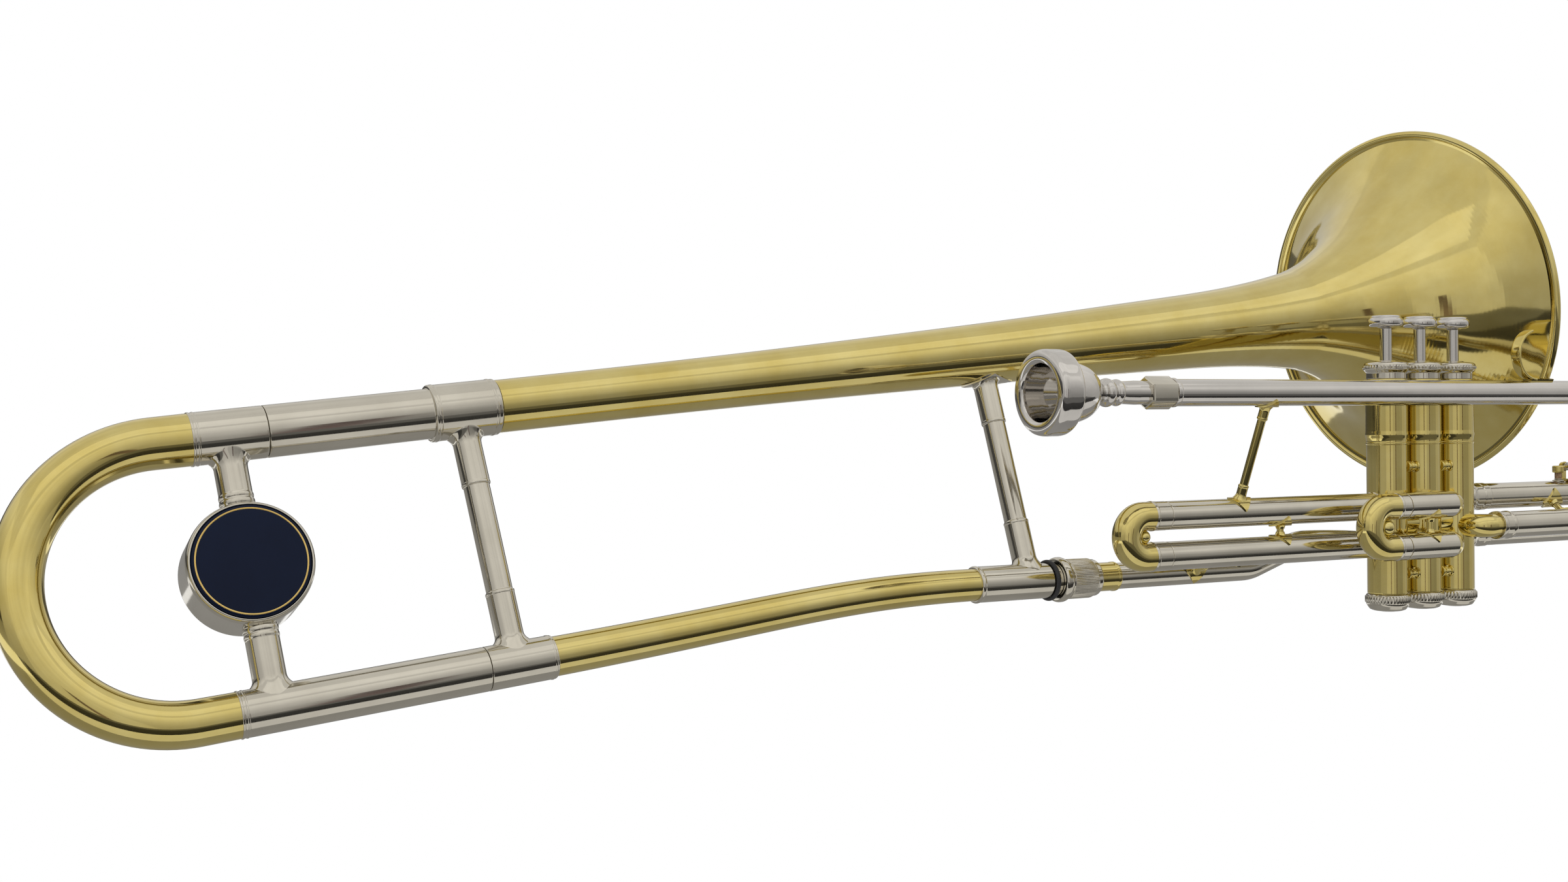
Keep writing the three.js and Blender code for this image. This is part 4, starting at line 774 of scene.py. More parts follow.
def shader_group(name: str, inputs: dict[str, float], outputs: dict[str, str]) -> bpy.types.NodeTree:
    """Starts a shader node group with named number inputs and outputs.

    Args:
        name: The group's name.
        inputs: Each input's name and its usual value.
        outputs: Each output's name and socket type.

    Returns:
        The group, with an input and an output node named "in" and "out".
    """
    group = bpy.data.node_groups.new(name, "ShaderNodeTree")
    for label, value in inputs.items():
        socket = group.interface.new_socket(name=label, in_out="INPUT", socket_type="NodeSocketFloat")
        socket.default_value = value
    for label, kind in outputs.items():
        group.interface.new_socket(name=label, in_out="OUTPUT", socket_type=kind)
    group.nodes.new("NodeGroupInput").name = "in"
    group.nodes.new("NodeGroupOutput").name = "out"
    return group


def polish_group() -> bpy.types.NodeTree:
    """Returns the shared group for handling marks: soft smears, fine hairlines and faint waviness."""
    known = bpy.data.node_groups.get("polished_surface")
    if known:
        return known
    group = shader_group(
        "polished_surface",
        {"Smear Scale": 30.0, "Hairline Scale": 900.0, "Wave Scale": 60.0},
        {"Smears": "NodeSocketFloat", "Hairlines": "NodeSocketFloat", "Height": "NodeSocketFloat"},
    )
    sheet = NodeSheet(group)
    entry, leave = group.nodes["in"], group.nodes["out"]
    place = sheet.add("TexCoord")
    smears = sheet.add("TexNoise", {"Detail": 5.0, "Roughness": 0.62})
    hairlines = sheet.add("TexNoise", {"Detail": 3.0, "Distortion": 0.4})
    waves = sheet.add("TexNoise", {"Detail": 1.0})
    stretch = sheet.add("Mapping", {"Scale": (0.08, 1.0, 1.0)})
    sheet.join(place, "Object", stretch, "Vector")
    for noise, source, output, scale, result in (
        (smears, place, "Object", "Smear Scale", "Smears"),
        (hairlines, stretch, "Vector", "Hairline Scale", "Hairlines"),
        (waves, place, "Object", "Wave Scale", "Height"),
    ):
        sheet.join(source, output, noise, "Vector")
        sheet.join(entry, scale, noise, "Scale")
        sheet.join(noise, "Fac", leave, result)
    return group


@dataclass(frozen=True)
class Finish:
    """One finish of the instrument and how it is mixed."""

    label: str
    pale: tuple[float, float, float]
    deep: tuple[float, float, float]
    smooth: float
    worn: float
    metallic: float = 1.0
    coat: float = 0.0
    coat_roughness: float = 0.05
    smear_scale: float = 30.0
    hairline_scale: float = 900.0
    ripple: float = 0.0
    sheen: float = 0.5

    def build(self) -> bpy.types.Material:
        """Returns the node material of this finish, made once."""
        known = bpy.data.materials.get(self.label)
        if known:
            return known
        material = bpy.data.materials.new(self.label)
        material.use_nodes = True
        sheet = NodeSheet(material.node_tree)
        shader = sheet.fill(
            material.node_tree.nodes["Principled BSDF"],
            {
                "Metallic": self.metallic,
                "Coat Weight": self.coat,
                "Coat Roughness": self.coat_roughness,
                "Specular IOR Level": self.sheen,
            },
        )
        marks = sheet.add("Group", node_tree=polish_group())
        sheet.fill(marks, {"Smear Scale": self.smear_scale, "Hairline Scale": self.hairline_scale})
        blend = sheet.add("Mix", {"A": (*self.pale, 1), "B": (*self.deep, 1)}, data_type="RGBA")
        ramp = sheet.add("MapRange", {"From Min": 0.35, "From Max": 0.7})
        sheet.join(marks, "Smears", ramp, "Value")
        sheet.join(ramp, "Result", blend, "Factor")
        sheet.join(blend, "Result", shader, "Base Color")
        rough = sheet.add(
            "MapRange", {"From Min": 0.3, "From Max": 0.75, "To Min": self.smooth, "To Max": self.worn}
        )
        mixed = sheet.add("Math", {1: 0.35}, operation="MULTIPLY_ADD")
        scaled = sheet.add("Math", {1: 0.7}, operation="MULTIPLY")
        sheet.join(marks, "Hairlines", mixed, 0)
        sheet.join(marks, "Smears", scaled, 0)
        sheet.join(scaled, "Value", mixed, 2)
        sheet.join(mixed, "Value", rough, "Value")
        sheet.join(rough, "Result", shader, "Roughness")
        if self.ripple > 0:
            bump = sheet.add("Bump", {"Strength": self.ripple, "Distance": 0.001})
            sheet.join(marks, "Height", bump, "Height")
            sheet.join(bump, "Normal", shader, "Normal")
        return material


LACQUERED_BRASS = Finish("lacquered_brass", (0.76, 0.64, 0.25), (0.68, 0.54, 0.16), 0.05, 0.11, coat=0.35)
NICKEL_SILVER = Finish("nickel_silver", (0.69, 0.655, 0.565), (0.61, 0.575, 0.49), 0.06, 0.13)
SILVER_PLATE = Finish("silver_plate", (0.69, 0.665, 0.63), (0.62, 0.6, 0.565), 0.05, 0.12)
SPRING_STEEL = Finish("spring_steel", (0.45, 0.45, 0.46), (0.36, 0.36, 0.37), 0.25, 0.4)
BLACK_RUBBER = Finish("black_rubber", (0.012, 0.012, 0.013), (0.022, 0.022, 0.024), 0.45, 0.65, metallic=0.0)
PRESSED_CORK = Finish(
    "pressed_cork",
    (0.3, 0.19, 0.1), (0.16, 0.09, 0.045),
    0.75,
    0.9,
    metallic=0.0,
    smear_scale=900,
    ripple=0.4,
)
NAVY_ENAMEL = Finish(
    "navy_enamel",
    (0.002, 0.005, 0.017), (0.003, 0.007, 0.022),
    0.12,
    0.2,
    metallic=0.0,
    sheen=0.14,
)
GOLD_LINE = Finish("gold_line", (0.8, 0.58, 0.2), (0.68, 0.47, 0.15), 0.2, 0.32)

FINISHES = {
    Slot.BRASS: LACQUERED_BRASS,
    Slot.NICKEL: NICKEL_SILVER,
    Slot.SILVER: SILVER_PLATE,
    Slot.STEEL: SPRING_STEEL,
    Slot.RUBBER: BLACK_RUBBER,
    Slot.CORK: PRESSED_CORK,
    Slot.ENAMEL: NAVY_ENAMEL,
}


def dress(
    piece: bpy.types.Object,
    slot: Slot,
    *nodes: str,
    body: str = "instrument",
    finish: Finish | None = None,
) -> None:
    """Gives a piece its finish, its body and the solids that it stands for.

    Args:
        piece: The finished piece.
        slot: The record's material slot.
        nodes: The solids that it replaces.
        body: The body that it moves with.
        finish: Another finish than the slot's usual one.
    """
    piece.data.materials.clear()
    piece.data.materials.append((finish or FINISHES[slot]).build())
    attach(piece, body)
    if nodes:
        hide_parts(*nodes)
    LOG.info("%s rides on %s", piece.name, body)


def flared_foot(near: float, foot: float, plain: float, skirt: float) -> Profile:
    """Returns the outline of a foot that flares down onto a pipe.

    Args:
        near: The pipe's radius.
        foot: The foot's radius on the pipe.
        plain: The radius above the flare.
        skirt: How much wider it is inside the pipe.

    Returns:
        The outline from the axis inside the pipe up to the plain part.
    """
    outline: Profile = [(near - 2, 0), (near - 2, foot + skirt), (near, foot)]
    for step in range(1, 9):
        share = step / 8
        outline.append((near + 3.4 * share, plain + (foot - plain) * (1 - share) ** 2.4))
    return outline


@dataclass
class BellFrame:
    """The bell's own frame: its axis leaves the mouth, and the tuning slide hangs below it."""

    mouth: Vector = field(default_factory=lambda: Vector((87.2, 87.05, 53.5)))
    swing: float = math.radians(1.65)
    rise: float = math.radians(5.71)
    roll: float = math.radians(-18.81)

    def matrix(self) -> Matrix:
        """Returns the placement of the bell's frame in the instrument."""
        turn = Matrix.Rotation(self.swing, 4, "Z") @ Matrix.Rotation(-self.rise, 4, "Y")
        return Matrix.Translation(self.mouth) @ turn @ Matrix.Rotation(self.roll, 4, "X")

    def at(self, back: float, down: float = 0.0, side: float = 0.0) -> Vector:
        """Returns a point in the instrument.

        Args:
            back: The distance behind the bell's rim.
            down: The distance toward the lower leg.
            side: The distance away from the player's left hand side.

        Returns:
            The point in millimetres.
        """
        return self.matrix() @ Vector((-back, side, -down))

    def way(self, along: float, side: float, up: float) -> Vector:
        """Returns a direction of the bell's frame, turned into the instrument."""
        return self.matrix().to_3x3() @ Vector((along, side, up))

    def spun(self, back: float, down: float = 0.0) -> Matrix:
        """Returns the placement of a body turned about a line along the bell, running to the mouth."""
        return facing(self.at(back, down), self.way(1, 0, 0))


@dataclass
class BellSection:
    """The bell with its braces, its collars and the neckpipe that joins the valve section."""

    frame: BellFrame = field(default_factory=BellFrame)
    length: float = 578.3
    rim_radius: float = 104.7
    wall: float = 1.1
    bead: float = 2.1
    outline: tuple[tuple[float, float], ...] = (
        (0.0036, 0.9608), (0.0107, 0.8873), (0.0214, 0.7941), (0.0356, 0.6961), (0.0534, 0.6029),
        (0.0712, 0.5196), (0.089, 0.451), (0.1069, 0.3951), (0.1247, 0.3471), (0.1425, 0.3088),
        (0.1603, 0.2794), (0.1781, 0.2598), (0.2226, 0.2275), (0.285, 0.201), (0.3918, 0.1784),
        (0.5254, 0.1529), (0.7248, 0.1275), (0.8673, 0.1157), (1.0, 0.1108),
    )
    spacing: float = LEG_SPACING
    tube: float = TUNING_TUBE
    joint_back: float = TUNING_JOINT
    upper_collar: tuple[float, float, float] = (608.4, 578.6, 12.5)
    lower_collar: tuple[float, float, float] = (SLEEVE_FRONT, 577.9, 9.3)
    male_back: float = 700.0
    rear_brace_back: float = 594.3
    bell_brace_back: float = 318.3
    brace_rod: float = 5.65
    brace_socket: float = 6.1
    brace_socket_length: float = 22.0
    receiver_rear: Vector = field(default_factory=lambda: Vector((-259.3, EXIT_SIDE, EXIT_HEIGHT)))
    receiver: float = 8.8
    receiver_length: float = 42.7
    receiver_nose: float = 54.3
    ring_middle: float = 44.05
    ring_half: tuple[float, float] = (1.25, 1.0)
    brace_foot_along: float = -226.5

    def radius_at(self, back: float) -> float:
        """Returns the bell's outer radius at a distance behind its rim."""
        share = back / self.length
        for (near, wide), (far, narrow) in zip(self.outline, self.outline[1:]):
            if near <= share <= far:
                return self.rim_radius * (wide + (share - near) / (far - near) * (narrow - wide))
        return self.rim_radius * self.outline[-1][1]

    def bell_profile(self) -> Profile:
        """Returns the closed outline of the bell's wall with its rolled rim."""
        points = [(-back * self.length, radius * self.rim_radius) for back, radius in self.outline]
        dense = list(reversed(smoothed(points, 6)))
        centre = Vector((-self.bead, self.rim_radius - self.bead))
        outer = [point for point in dense if (Vector(point) - centre).length > self.bead * 1.02]
        inner: Profile = []
        for index, point in enumerate(dense):
            before = Vector(dense[max(index - 1, 0)])
            after = Vector(dense[min(index + 1, len(dense) - 1)])
            run = (after - before).normalized()
            inside = Vector(point) + Vector((run.y, -run.x)) * self.wall
            if (inside - centre).length > self.bead * 1.02:
                inner.append((inside.x, inside.y))
        inner[0] = (outer[0][0], inner[0][1])
        start = math.atan2(outer[-1][1] - centre.y, outer[-1][0] - centre.x)
        end = math.atan2(inner[-1][1] - centre.y, inner[-1][0] - centre.x)
        if start < end:
            start += FULL_TURN
        bead: Profile = []
        for step in range(1, 20):
            turn = start + (end - start) * step / 20
            bead.append((centre.x + self.bead * math.cos(turn), centre.y + self.bead * math.sin(turn)))
        return [*outer, *bead, *reversed(inner), outer[0]]

    def make_bell(self) -> None:
        """Spins the bell."""
        shape = bmesh.new()
        spin_into(shape, self.bell_profile(), self.frame.spun(0), 160)
        dress(finished("bell_flare", shape), Slot.BRASS, "bell")

    def make_tuning_receiver(self) -> None:
        """Turns the upper collar and the fixed tube behind the bell."""
        rear, front, collar = self.upper_collar
        bore = self.tube - 0.8
        tail = self.rim_radius * self.outline[-1][1] + 0.08
        outline: Profile = [
            (-self.joint_back + 0.15, bore), (-self.joint_back + 0.15, self.tube + 0.02),
            *placed(-rear, [
                (-0.1, self.tube), (0, collar - 0.5), (0.6, collar - 0.05), (1.3, collar - 0.25),
                (1.6, collar), (2.3, collar), (2.6, collar - 0.25),
            ]),
            *placed(-front, [
                (-3.2, collar - 0.25), (-2.9, collar), (-2.2, collar), (-1.9, collar - 0.25),
                (-1.2, collar - 0.2), (-0.4, collar - 0.2), (0, collar - 0.6), (0, tail), (-14, tail),
                (-14, bore),
            ]),
        ]
        piece = turned("upper_collar", rounded(closed(outline), 0.35), self.frame.spun(0))
        dress(piece, Slot.NICKEL, "tuning_receiver")

    def make_neck_male_tube(self) -> None:
        """Turns the lower collar and the bright tube that slides in the sleeve."""
        rear, front, collar = self.lower_collar
        radius = TUNING_SLEEVE - 0.8 - 0.15
        outline: Profile = [
            (-self.male_back, radius - 0.75), (-self.male_back, radius), (-rear + 0.15, radius),
            (-rear + 0.15, collar - 0.2), (-rear + 0.35, collar),
            *placed(-front, [
                (-2.0, collar), (-1.8, collar + 0.18), (-1.2, collar + 0.18), (-1.0, collar),
                (-0.3, collar), (0, collar - 0.3), (0, 8.0), (-12, 8.0), (-12, radius - 0.75),
            ]),
        ]
        piece = turned("lower_collar", rounded(closed(outline), 0.3), self.frame.spun(0, self.spacing))
        dress(piece, Slot.NICKEL, "neck_male_tube")

    def brace_between(self, first: PipeLine, second: PipeLine, shape: BMesh) -> None:
        """Adds a brace of two flared sockets and a rod between two pipes.

        Args:
            first: The upper pipe.
            second: The lower pipe.
            shape: The shape that receives it.
        """
        way = second.point - first.point
        near = first.radius
        far = way.length - second.radius
        socket = near + self.brace_socket_length
        outline = flared_foot(near, self.brace_socket + 1.9, self.brace_socket, 0.15)
        wide, rod = self.brace_socket, self.brace_rod
        end: Profile = [(-1.5, wide), (-1.3, wide + 0.12), (-0.3, wide + 0.12), (0, wide - 0.1), (0.1, rod)]
        outline += placed(socket, end)
        mirrored = [(near + far - along, radius) for along, radius in reversed(outline)]
        verts = spin_into(shape, rounded(outline + mirrored, 0.25, 2), facing(first.point, way), 48)
        seat_on(shape, verts, first, way, 3.5)
        seat_on(shape, verts, second, -way, 3.5)

    def make_rear_brace(self) -> None:
        """Makes the brace between the two collars."""
        way = self.frame.way(1, 0, 0)
        upper = PipeLine(self.frame.at(self.rear_brace_back), way, self.upper_collar[2])
        lower = PipeLine(self.frame.at(self.rear_brace_back, self.spacing), way, self.lower_collar[2])
        piece = merge_object("rear_brace_turned", lambda shape: self.brace_between(upper, lower, shape))
        dress(piece, Slot.NICKEL, "rear_brace")

    def make_bell_brace(self) -> None:
        """Makes the brace between the bell and the receiver, with the diamond plate on the bell."""
        way = self.frame.way(1, 0, 0)
        upper = PipeLine(self.frame.at(self.bell_brace_back), way, self.radius_at(self.bell_brace_back))
        foot = self.receiver_rear.copy()
        foot.x = self.brace_foot_along
        lower = PipeLine(foot, X_AXIS, self.receiver)

        def build(shape: BMesh) -> None:
            """Adds the brace and its plate."""
            self.brace_between(upper, lower, shape)
            diamond_into(shape, upper, lower.point - upper.point, 16, 9)

        dress(merge_object("bell_brace_turned", build), Slot.NICKEL, "bell_brace")

    def make_neckpipe(self) -> None:
        """Draws the curved neckpipe, which narrows a little toward the receiver."""
        front = self.lower_collar[1]
        start = self.frame.at(front + 11, self.spacing)
        way = self.frame.way(1, 0, 0)
        route = Route(start, way).straight(11).glide(self.receiver_rear, X_AXIS, 113, 77, 56).straight(11)
        shape = bmesh.new()
        sweep_into(shape, route, lambda share: 8.5 - 0.75 * share, 48)
        dress(finished("neckpipe_drawn", shape), Slot.BRASS, "neckpipe")

    def make_receiver(self) -> None:
        """Turns the receiver sleeve at the end of the neckpipe."""
        end = self.receiver_length
        radius, nose = self.receiver, self.receiver_nose
        outline: Profile = [
            (0, 7.2), (0, radius - 0.4), (0.6, radius + 0.25), (1.5, radius + 0.25), (2.2, radius - 0.05),
            (end - 0.4, radius - 0.05), (end, radius - 0.35), (end, 8.1), (nose, 8.1), (nose, 7.35),
            (13, 7.35), (13, 7.2),
        ]
        piece = turned("receiver_sleeve", rounded(closed(outline), 0.3), facing(self.receiver_rear, X_AXIS))
        dress(piece, Slot.NICKEL, "receiver")

    def make_o_ring(self) -> None:
        """Turns the soft ring in front of the receiver."""
        along, across = self.ring_half
        profile = [
            (self.ring_middle + math.cos(turn) * along, 9.2 + math.sin(turn) * across)
            for turn in (FULL_TURN * step / 24 for step in range(25))
        ]
        place = facing(self.receiver_rear, X_AXIS)
        dress(turned("soft_ring", profile, place), Slot.RUBBER, "o_ring")

    def build(self) -> None:
        """Builds the whole section."""
        self.make_bell()
        self.make_tuning_receiver()
        self.make_neck_male_tube()
        self.make_rear_brace()
        self.make_bell_brace()
        self.make_neckpipe()
        self.make_receiver()
        self.make_o_ring()


@dataclass
class TuningSlide:
    """The tuning slide behind the bell with its balance weight."""

    frame: BellFrame = field(default_factory=BellFrame)
    spacing: float = LEG_SPACING
    ring_back: float = 707.4
    bow_back: float = 721.6
    joint_back: float = TUNING_JOINT
    leg_front: float = 596.0
    sleeve_front: float = SLEEVE_FRONT
    tube: float = TUNING_TUBE
    sleeve: float = TUNING_SLEEVE
    weight_back: float = 693.3
    stem_back: float = 693.2
    weight_down: float = 55.0
    weight_radius: float = 24.9
    weight_thickness: float = 27.0
    weight_set_back: float = 4.25
    badge_radius: float = 23.1
    ring_radius: float = 21.5
    ring_half: tuple[float, float] = (0.16, 0.36)
    stem_radius: float = 7.0
    stem_waist: float = 6.65

    def make_bow(self) -> None:
        """Draws the bow, wider at the upper leg than at the lower one."""
        rear = self.frame.way(-1, 0, 0)
        turn_axis = self.frame.way(0, -1, 0)
        route = Route(self.frame.at(self.ring_back), rear).straight(self.bow_back - self.ring_back, 4)
        route.bend(turn_axis, math.pi, self.spacing / 2, 64).straight(self.bow_back - self.ring_back, 4)
        shape = bmesh.new()
        sweep_into(shape, route, lambda share: 10.7 - 2.1 * share + 0.5 * share**2, 56)
        dress(finished("tuning_bow_drawn", shape), Slot.BRASS, "tuning_bow", body="tuning_slide")

    def ring_pair(self, tube: float, ring: float) -> Profile:
        """Returns the outline of the two thin rings on a ferrule at the bow."""
        steps: Profile = [(0.2, ring), (0.8, ring), (1.0, tube), (1.9, tube), (2.1, ring), (2.6, ring)]
        return placed(-self.ring_back, steps)

    def make_upper_leg(self) -> None:
        """Turns the upper leg: the ferrule at the bow, the outer tube and the inner leg."""
        rear, joint, tube = self.ring_back, self.joint_back, self.tube
        outline: Profile = [
            (-rear, 8.0), (-rear, tube + 0.1),
            *self.ring_pair(tube, tube + 0.2), (-rear + 2.8, tube),
            (-joint - 0.35, tube), (-joint, tube - 0.35), (-joint, 9.85), (-self.leg_front, 9.85),
            (-self.leg_front, 9.1), (-self.leg_front - 20, 8.0),
        ]
        piece = turned("upper_tuning_leg", rounded(closed(outline), 0.3), self.frame.spun(0))
        dress(piece, Slot.NICKEL, "tuning_leg_upper", body="tuning_slide")

    def make_lower_sleeve(self) -> None:
        """Turns the lower leg, the sleeve that runs over the bright tube."""
        rear, front, sleeve = self.ring_back, self.sleeve_front, self.sleeve
        outline: Profile = [
            (-rear, 8.4), (-rear, sleeve + 0.05),
            *self.ring_pair(sleeve, sleeve + 0.22),
            (-rear + 2.8, sleeve + 0.05), (-front - 0.3, sleeve + 0.05), (-front, sleeve - 0.25),
            (-front, 8.4),
        ]
        piece = turned("lower_tuning_sleeve", rounded(closed(outline), 0.3), self.frame.spun(0, self.spacing))
        dress(piece, Slot.NICKEL, "tuning_sleeve_lower", body="tuning_slide")

    def stem(self, name: str, pipe: PipeLine, target: Vector, node: str) -> None:
        """Turns one stem between a leg and the weight.

        Args:
            name: The piece's name.
            pipe: The leg that it stands on.
            target: The centre of the weight.
            node: The solid that it replaces.
        """
        way = target - pipe.point
        near = pipe.radius
        far = way.length - self.weight_radius + 0.3
        plain, waist = self.stem_radius, self.stem_waist
        outline = flared_foot(near, plain + 1.4, waist, 0.1)
        outline += [
            *placed(far, [
                (-5.2, waist), (-4.6, plain - 0.1), (-3.6, plain - 0.1), (-3.2, waist + 0.05),
                (-2.7, waist + 0.05), (-2.2, plain), (-0.9, plain), (-0.3, plain - 0.3), (1.6, waist),
                (1.6, 0),
            ]),
        ]
        shape = bmesh.new()
        verts = spin_into(shape, rounded(outline, 0.3, 2), facing(pipe.point, way), 48)
        seat_on(shape, verts, pipe, way, 3.5)
        dress(finished(name, shape), Slot.NICKEL, node, body="tuning_slide")

    def weight_place(self) -> Matrix:
        """Returns the placement of the weight, with its face to the near side."""
        centre = self.frame.at(self.weight_back, self.weight_down, self.weight_set_back)
        return facing(centre, self.frame.way(0, -1, 0))

    def make_weight(self) -> None:
        """Turns the drum of the balance weight."""
        half = self.weight_thickness / 2
        inner = self.badge_radius + 0.05
        radius = self.weight_radius
        outline: Profile = [
            *placed(-half, [(0, 0), (0, radius - 2.6), (0.8, radius - 1.0), (2.4, radius)]),
            *placed(half, [
                (-3.2, radius), (-1.7, radius - 0.3), (-0.7, radius - 0.9), (-0.5, inner + 0.3),
                (-0.9, inner), (-1.7, inner), (-1.7, 0),
            ]),
        ]
        place = self.weight_place()
        piece = turned("balance_weight", rounded(outline, 1.0, 4), place, 96)
        dress(piece, Slot.NICKEL, "balancer_weight", body="tuning_slide")

    def make_badge(self) -> None:
        """Makes the enamelled face of the weight with its thin gold ring."""
        half = self.weight_thickness / 2
        floor = half - 1.62
        place = self.weight_place()
        radius = self.badge_radius
        face: Profile = [
            (floor, 0), (floor, radius),
            *placed(half, [
                (-1.1, radius), (-0.4, radius - 0.4), (-0.08, radius - 1.1), (-0.02, radius * 0.5),
                (0, 0),
            ]),
        ]
        dress(turned("badge_face", face, place, 96), Slot.ENAMEL, "balancer_badge", body="tuning_slide")
        high, wide = self.ring_half
        line = [
            (half - 0.12 + math.sin(turn) * high, self.ring_radius + math.cos(turn) * wide)
            for turn in (FULL_TURN * step / 12 for step in range(12))
        ]
        ring = turned("badge_ring", closed(line), place, 96)
        dress(ring, Slot.ENAMEL, body="tuning_slide", finish=GOLD_LINE)

    def build(self) -> None:
        """Builds the whole slide."""
        self.make_bow()
        self.make_upper_leg()
        self.make_lower_sleeve()
        way = self.frame.way(1, 0, 0)
        target = self.frame.at(self.weight_back, self.weight_down)
        upper = PipeLine(self.frame.at(self.stem_back), way, self.tube)
        lower = PipeLine(self.frame.at(self.stem_back, self.spacing), way, self.sleeve)
        self.stem("upper_stem", upper, target, "balancer_stem_upper")
        self.stem("lower_stem", lower, target, "balancer_stem_lower")
        self.make_weight()
        self.make_badge()


@dataclass
class ValveSection:
    """The three casings with their caps, pistons and buttons, and the pipes between them."""

    pitch: float = VALVE_PITCH
    radius: float = CASING_RADIUS
    top_radius: float = 10.45
    bottom: float = -105.3
    top: float = 7.5
    seam: float = -26.0
    bore: float = 8.9
    neck_radius: float = 9.6
    neck_length: float = 6.4
    shelf: float = -18.5
    link_height: float = -68.0
    link_radius: float = 6.4
    spacer_radius: float = 2.0
    spacer_foot: float = 3.2
    spacer_ball: float = 2.7
    spacer_heights: tuple[float, float] = (-38.6, -95.0)
    spacer_side: float = -4.5
    cap_radius: float = 11.9
    cap_top: float = 17.2
    foot_radius: float = 11.5
    foot_bottom: float = -114.5
    button_radius: float = 8.85
    button_bottom: float = 34.4
    button_height: float = 6.6
    stem_radius: float = 3.0
    spring_radius: float = 6.5
    spring_wire: float = 0.5
    spring_seat: float = -17.7
    spring_length: float = 25.2
    spring_turns: int = 4
    spring_keep: float = 0.36
    teeth: int = 44

    def place(self, index: int) -> Matrix:
        """Returns the placement of a casing."""
        return Matrix.Translation(((index - 1) * self.pitch, 0, 0))

    def make_casing(self, index: int) -> None:
        """Turns one casing: the lower barrel, the slightly wider top and the threaded necks."""
        neck_bottom, neck_top = self.bottom - self.neck_length, self.top + self.neck_length
        radius, wide, neck, bore = self.radius, self.top_radius, self.neck_radius, self.bore
        bottom, top = self.bottom, self.top
        outline: Profile = [
            (neck_bottom, bore), (neck_bottom, neck), (bottom, neck), (bottom, radius - 0.3),
            (bottom + 0.3, radius),
            *placed(self.seam, [
                (-0.9, radius), (-0.7, radius + 0.28), (0.1, radius + 0.28), (0.3, radius - 0.05),
                (1.4, radius + 0.05), (2.6, radius + 0.22), (4.2, wide + 0.3), (6.2, wide + 0.05),
            ]),
            (top - 0.4, wide), (top, wide - 0.3), (top, neck), (neck_top, neck), (neck_top, bore),
            *placed(self.shelf, [(0, bore), (0, 5.2), (-2, 5.2), (-2, bore)]),
        ]
        shape = bmesh.new()
        spin_into(shape, rounded(closed(outline), 0.25, 2), self.place(index), 80)
        if index == 1:
            self.add_links(shape)
        piece = finished(f"casing_barrel_{index + 1}", shape)
        dress(piece, Slot.BRASS, f"casing_{index + 1}")

    def add_links(self, shape: BMesh) -> None:
        """Adds the short pipes and spacers on both sides of the middle casing."""
        for sign in (-1, 1):
            way = X_AXIS * sign
            start = Vector((0, 0, self.link_height))
            far = self.pitch
            outline: Profile = [
                (self.radius - 0.3, 5.6), (self.radius - 0.3, self.link_radius),
                (far - self.radius + 0.3, self.link_radius), (far - self.radius + 0.3, 5.6),
                (self.radius - 0.3, 5.6),
            ]
            dense = [outline[0]]
            for before, after in zip(outline, outline[1:]):
                dense += [tuple(Vector(before).lerp(Vector(after), step / 6)) for step in range(1, 7)]
            verts = spin_into(shape, dense, facing(start, way), 48)
            seat_on(shape, verts, PipeLine(start, Z_AXIS, self.radius), way, 2.2)
            seat_on(shape, verts, PipeLine(way * far + start, Z_AXIS, self.radius), -way, 2.2)
            for height in self.spacer_heights:
                self.add_spacer(shape, sign, height)

    def add_spacer(self, shape: BMesh, sign: int, height: float) -> None:
        """Adds one turned spacer with a ball in its middle between two casings.

        Args:
            shape: The shape that receives it.
            sign: The side of the middle casing.
            height: Its height.
        """
        start = Vector((0, self.spacer_side, height))
        reach = math.sqrt(self.radius**2 - self.spacer_side**2)
        near = reach - 0.4
        far = self.pitch - near
        middle = self.pitch / 2
        rod, foot, ball = self.spacer_radius, self.spacer_foot, self.spacer_ball
        outline: Profile = [(near, 0), (near, foot), (near + 0.9, foot), (near + 1.3, rod)]
        outline += [(middle - 1.2, 1.8), (middle - 0.8, ball), (middle + 0.8, ball), (middle + 1.2, 1.8)]
        outline += [(far - 1.3, rod), (far - 0.9, foot), (far, foot), (far, 0)]
        spin_into(shape, rounded(outline, 0.4), facing(start, X_AXIS * sign), 32)

    def make_top_cap(self, index: int) -> None:
        """Makes one domed top cap with its knurled skirt."""
        low = self.top + 0.12
        roof = self.cap_top - 2.4
        neck, place = self.neck_radius, self.place(index)
        shape = bmesh.new()
        band = (low + 4.9, low + 7.4)
        knurled_ring_into(shape, self.cap_radius, neck + 0.1, 0.6, band, place, self.teeth)
        outline: Profile = [
            *placed(low, [
                (0, neck + 0.08), (0, 10.0), (3.2, 10.0), (3.7, 10.5), (4.4, 11.2), (4.9, 11.5),
                (7.4, 11.5), (8.1, 11.1), (8.6, 10.3), (8.9, 9.0),
            ]),
            *placed(self.cap_top, [(-0.45, 7.0), (-0.35, 5.8), (0, 5.2), (0, 3.5), (-0.3, 3.3)]),
            (roof, 3.3), (roof, neck + 0.08),
        ]
        spin_into(shape, rounded(closed(outline), 0.6), place, 80)
        piece = finished(f"top_cap_turned_{index + 1}", shape)
        dress(piece, Slot.NICKEL, f"top_cap_{index + 1}")

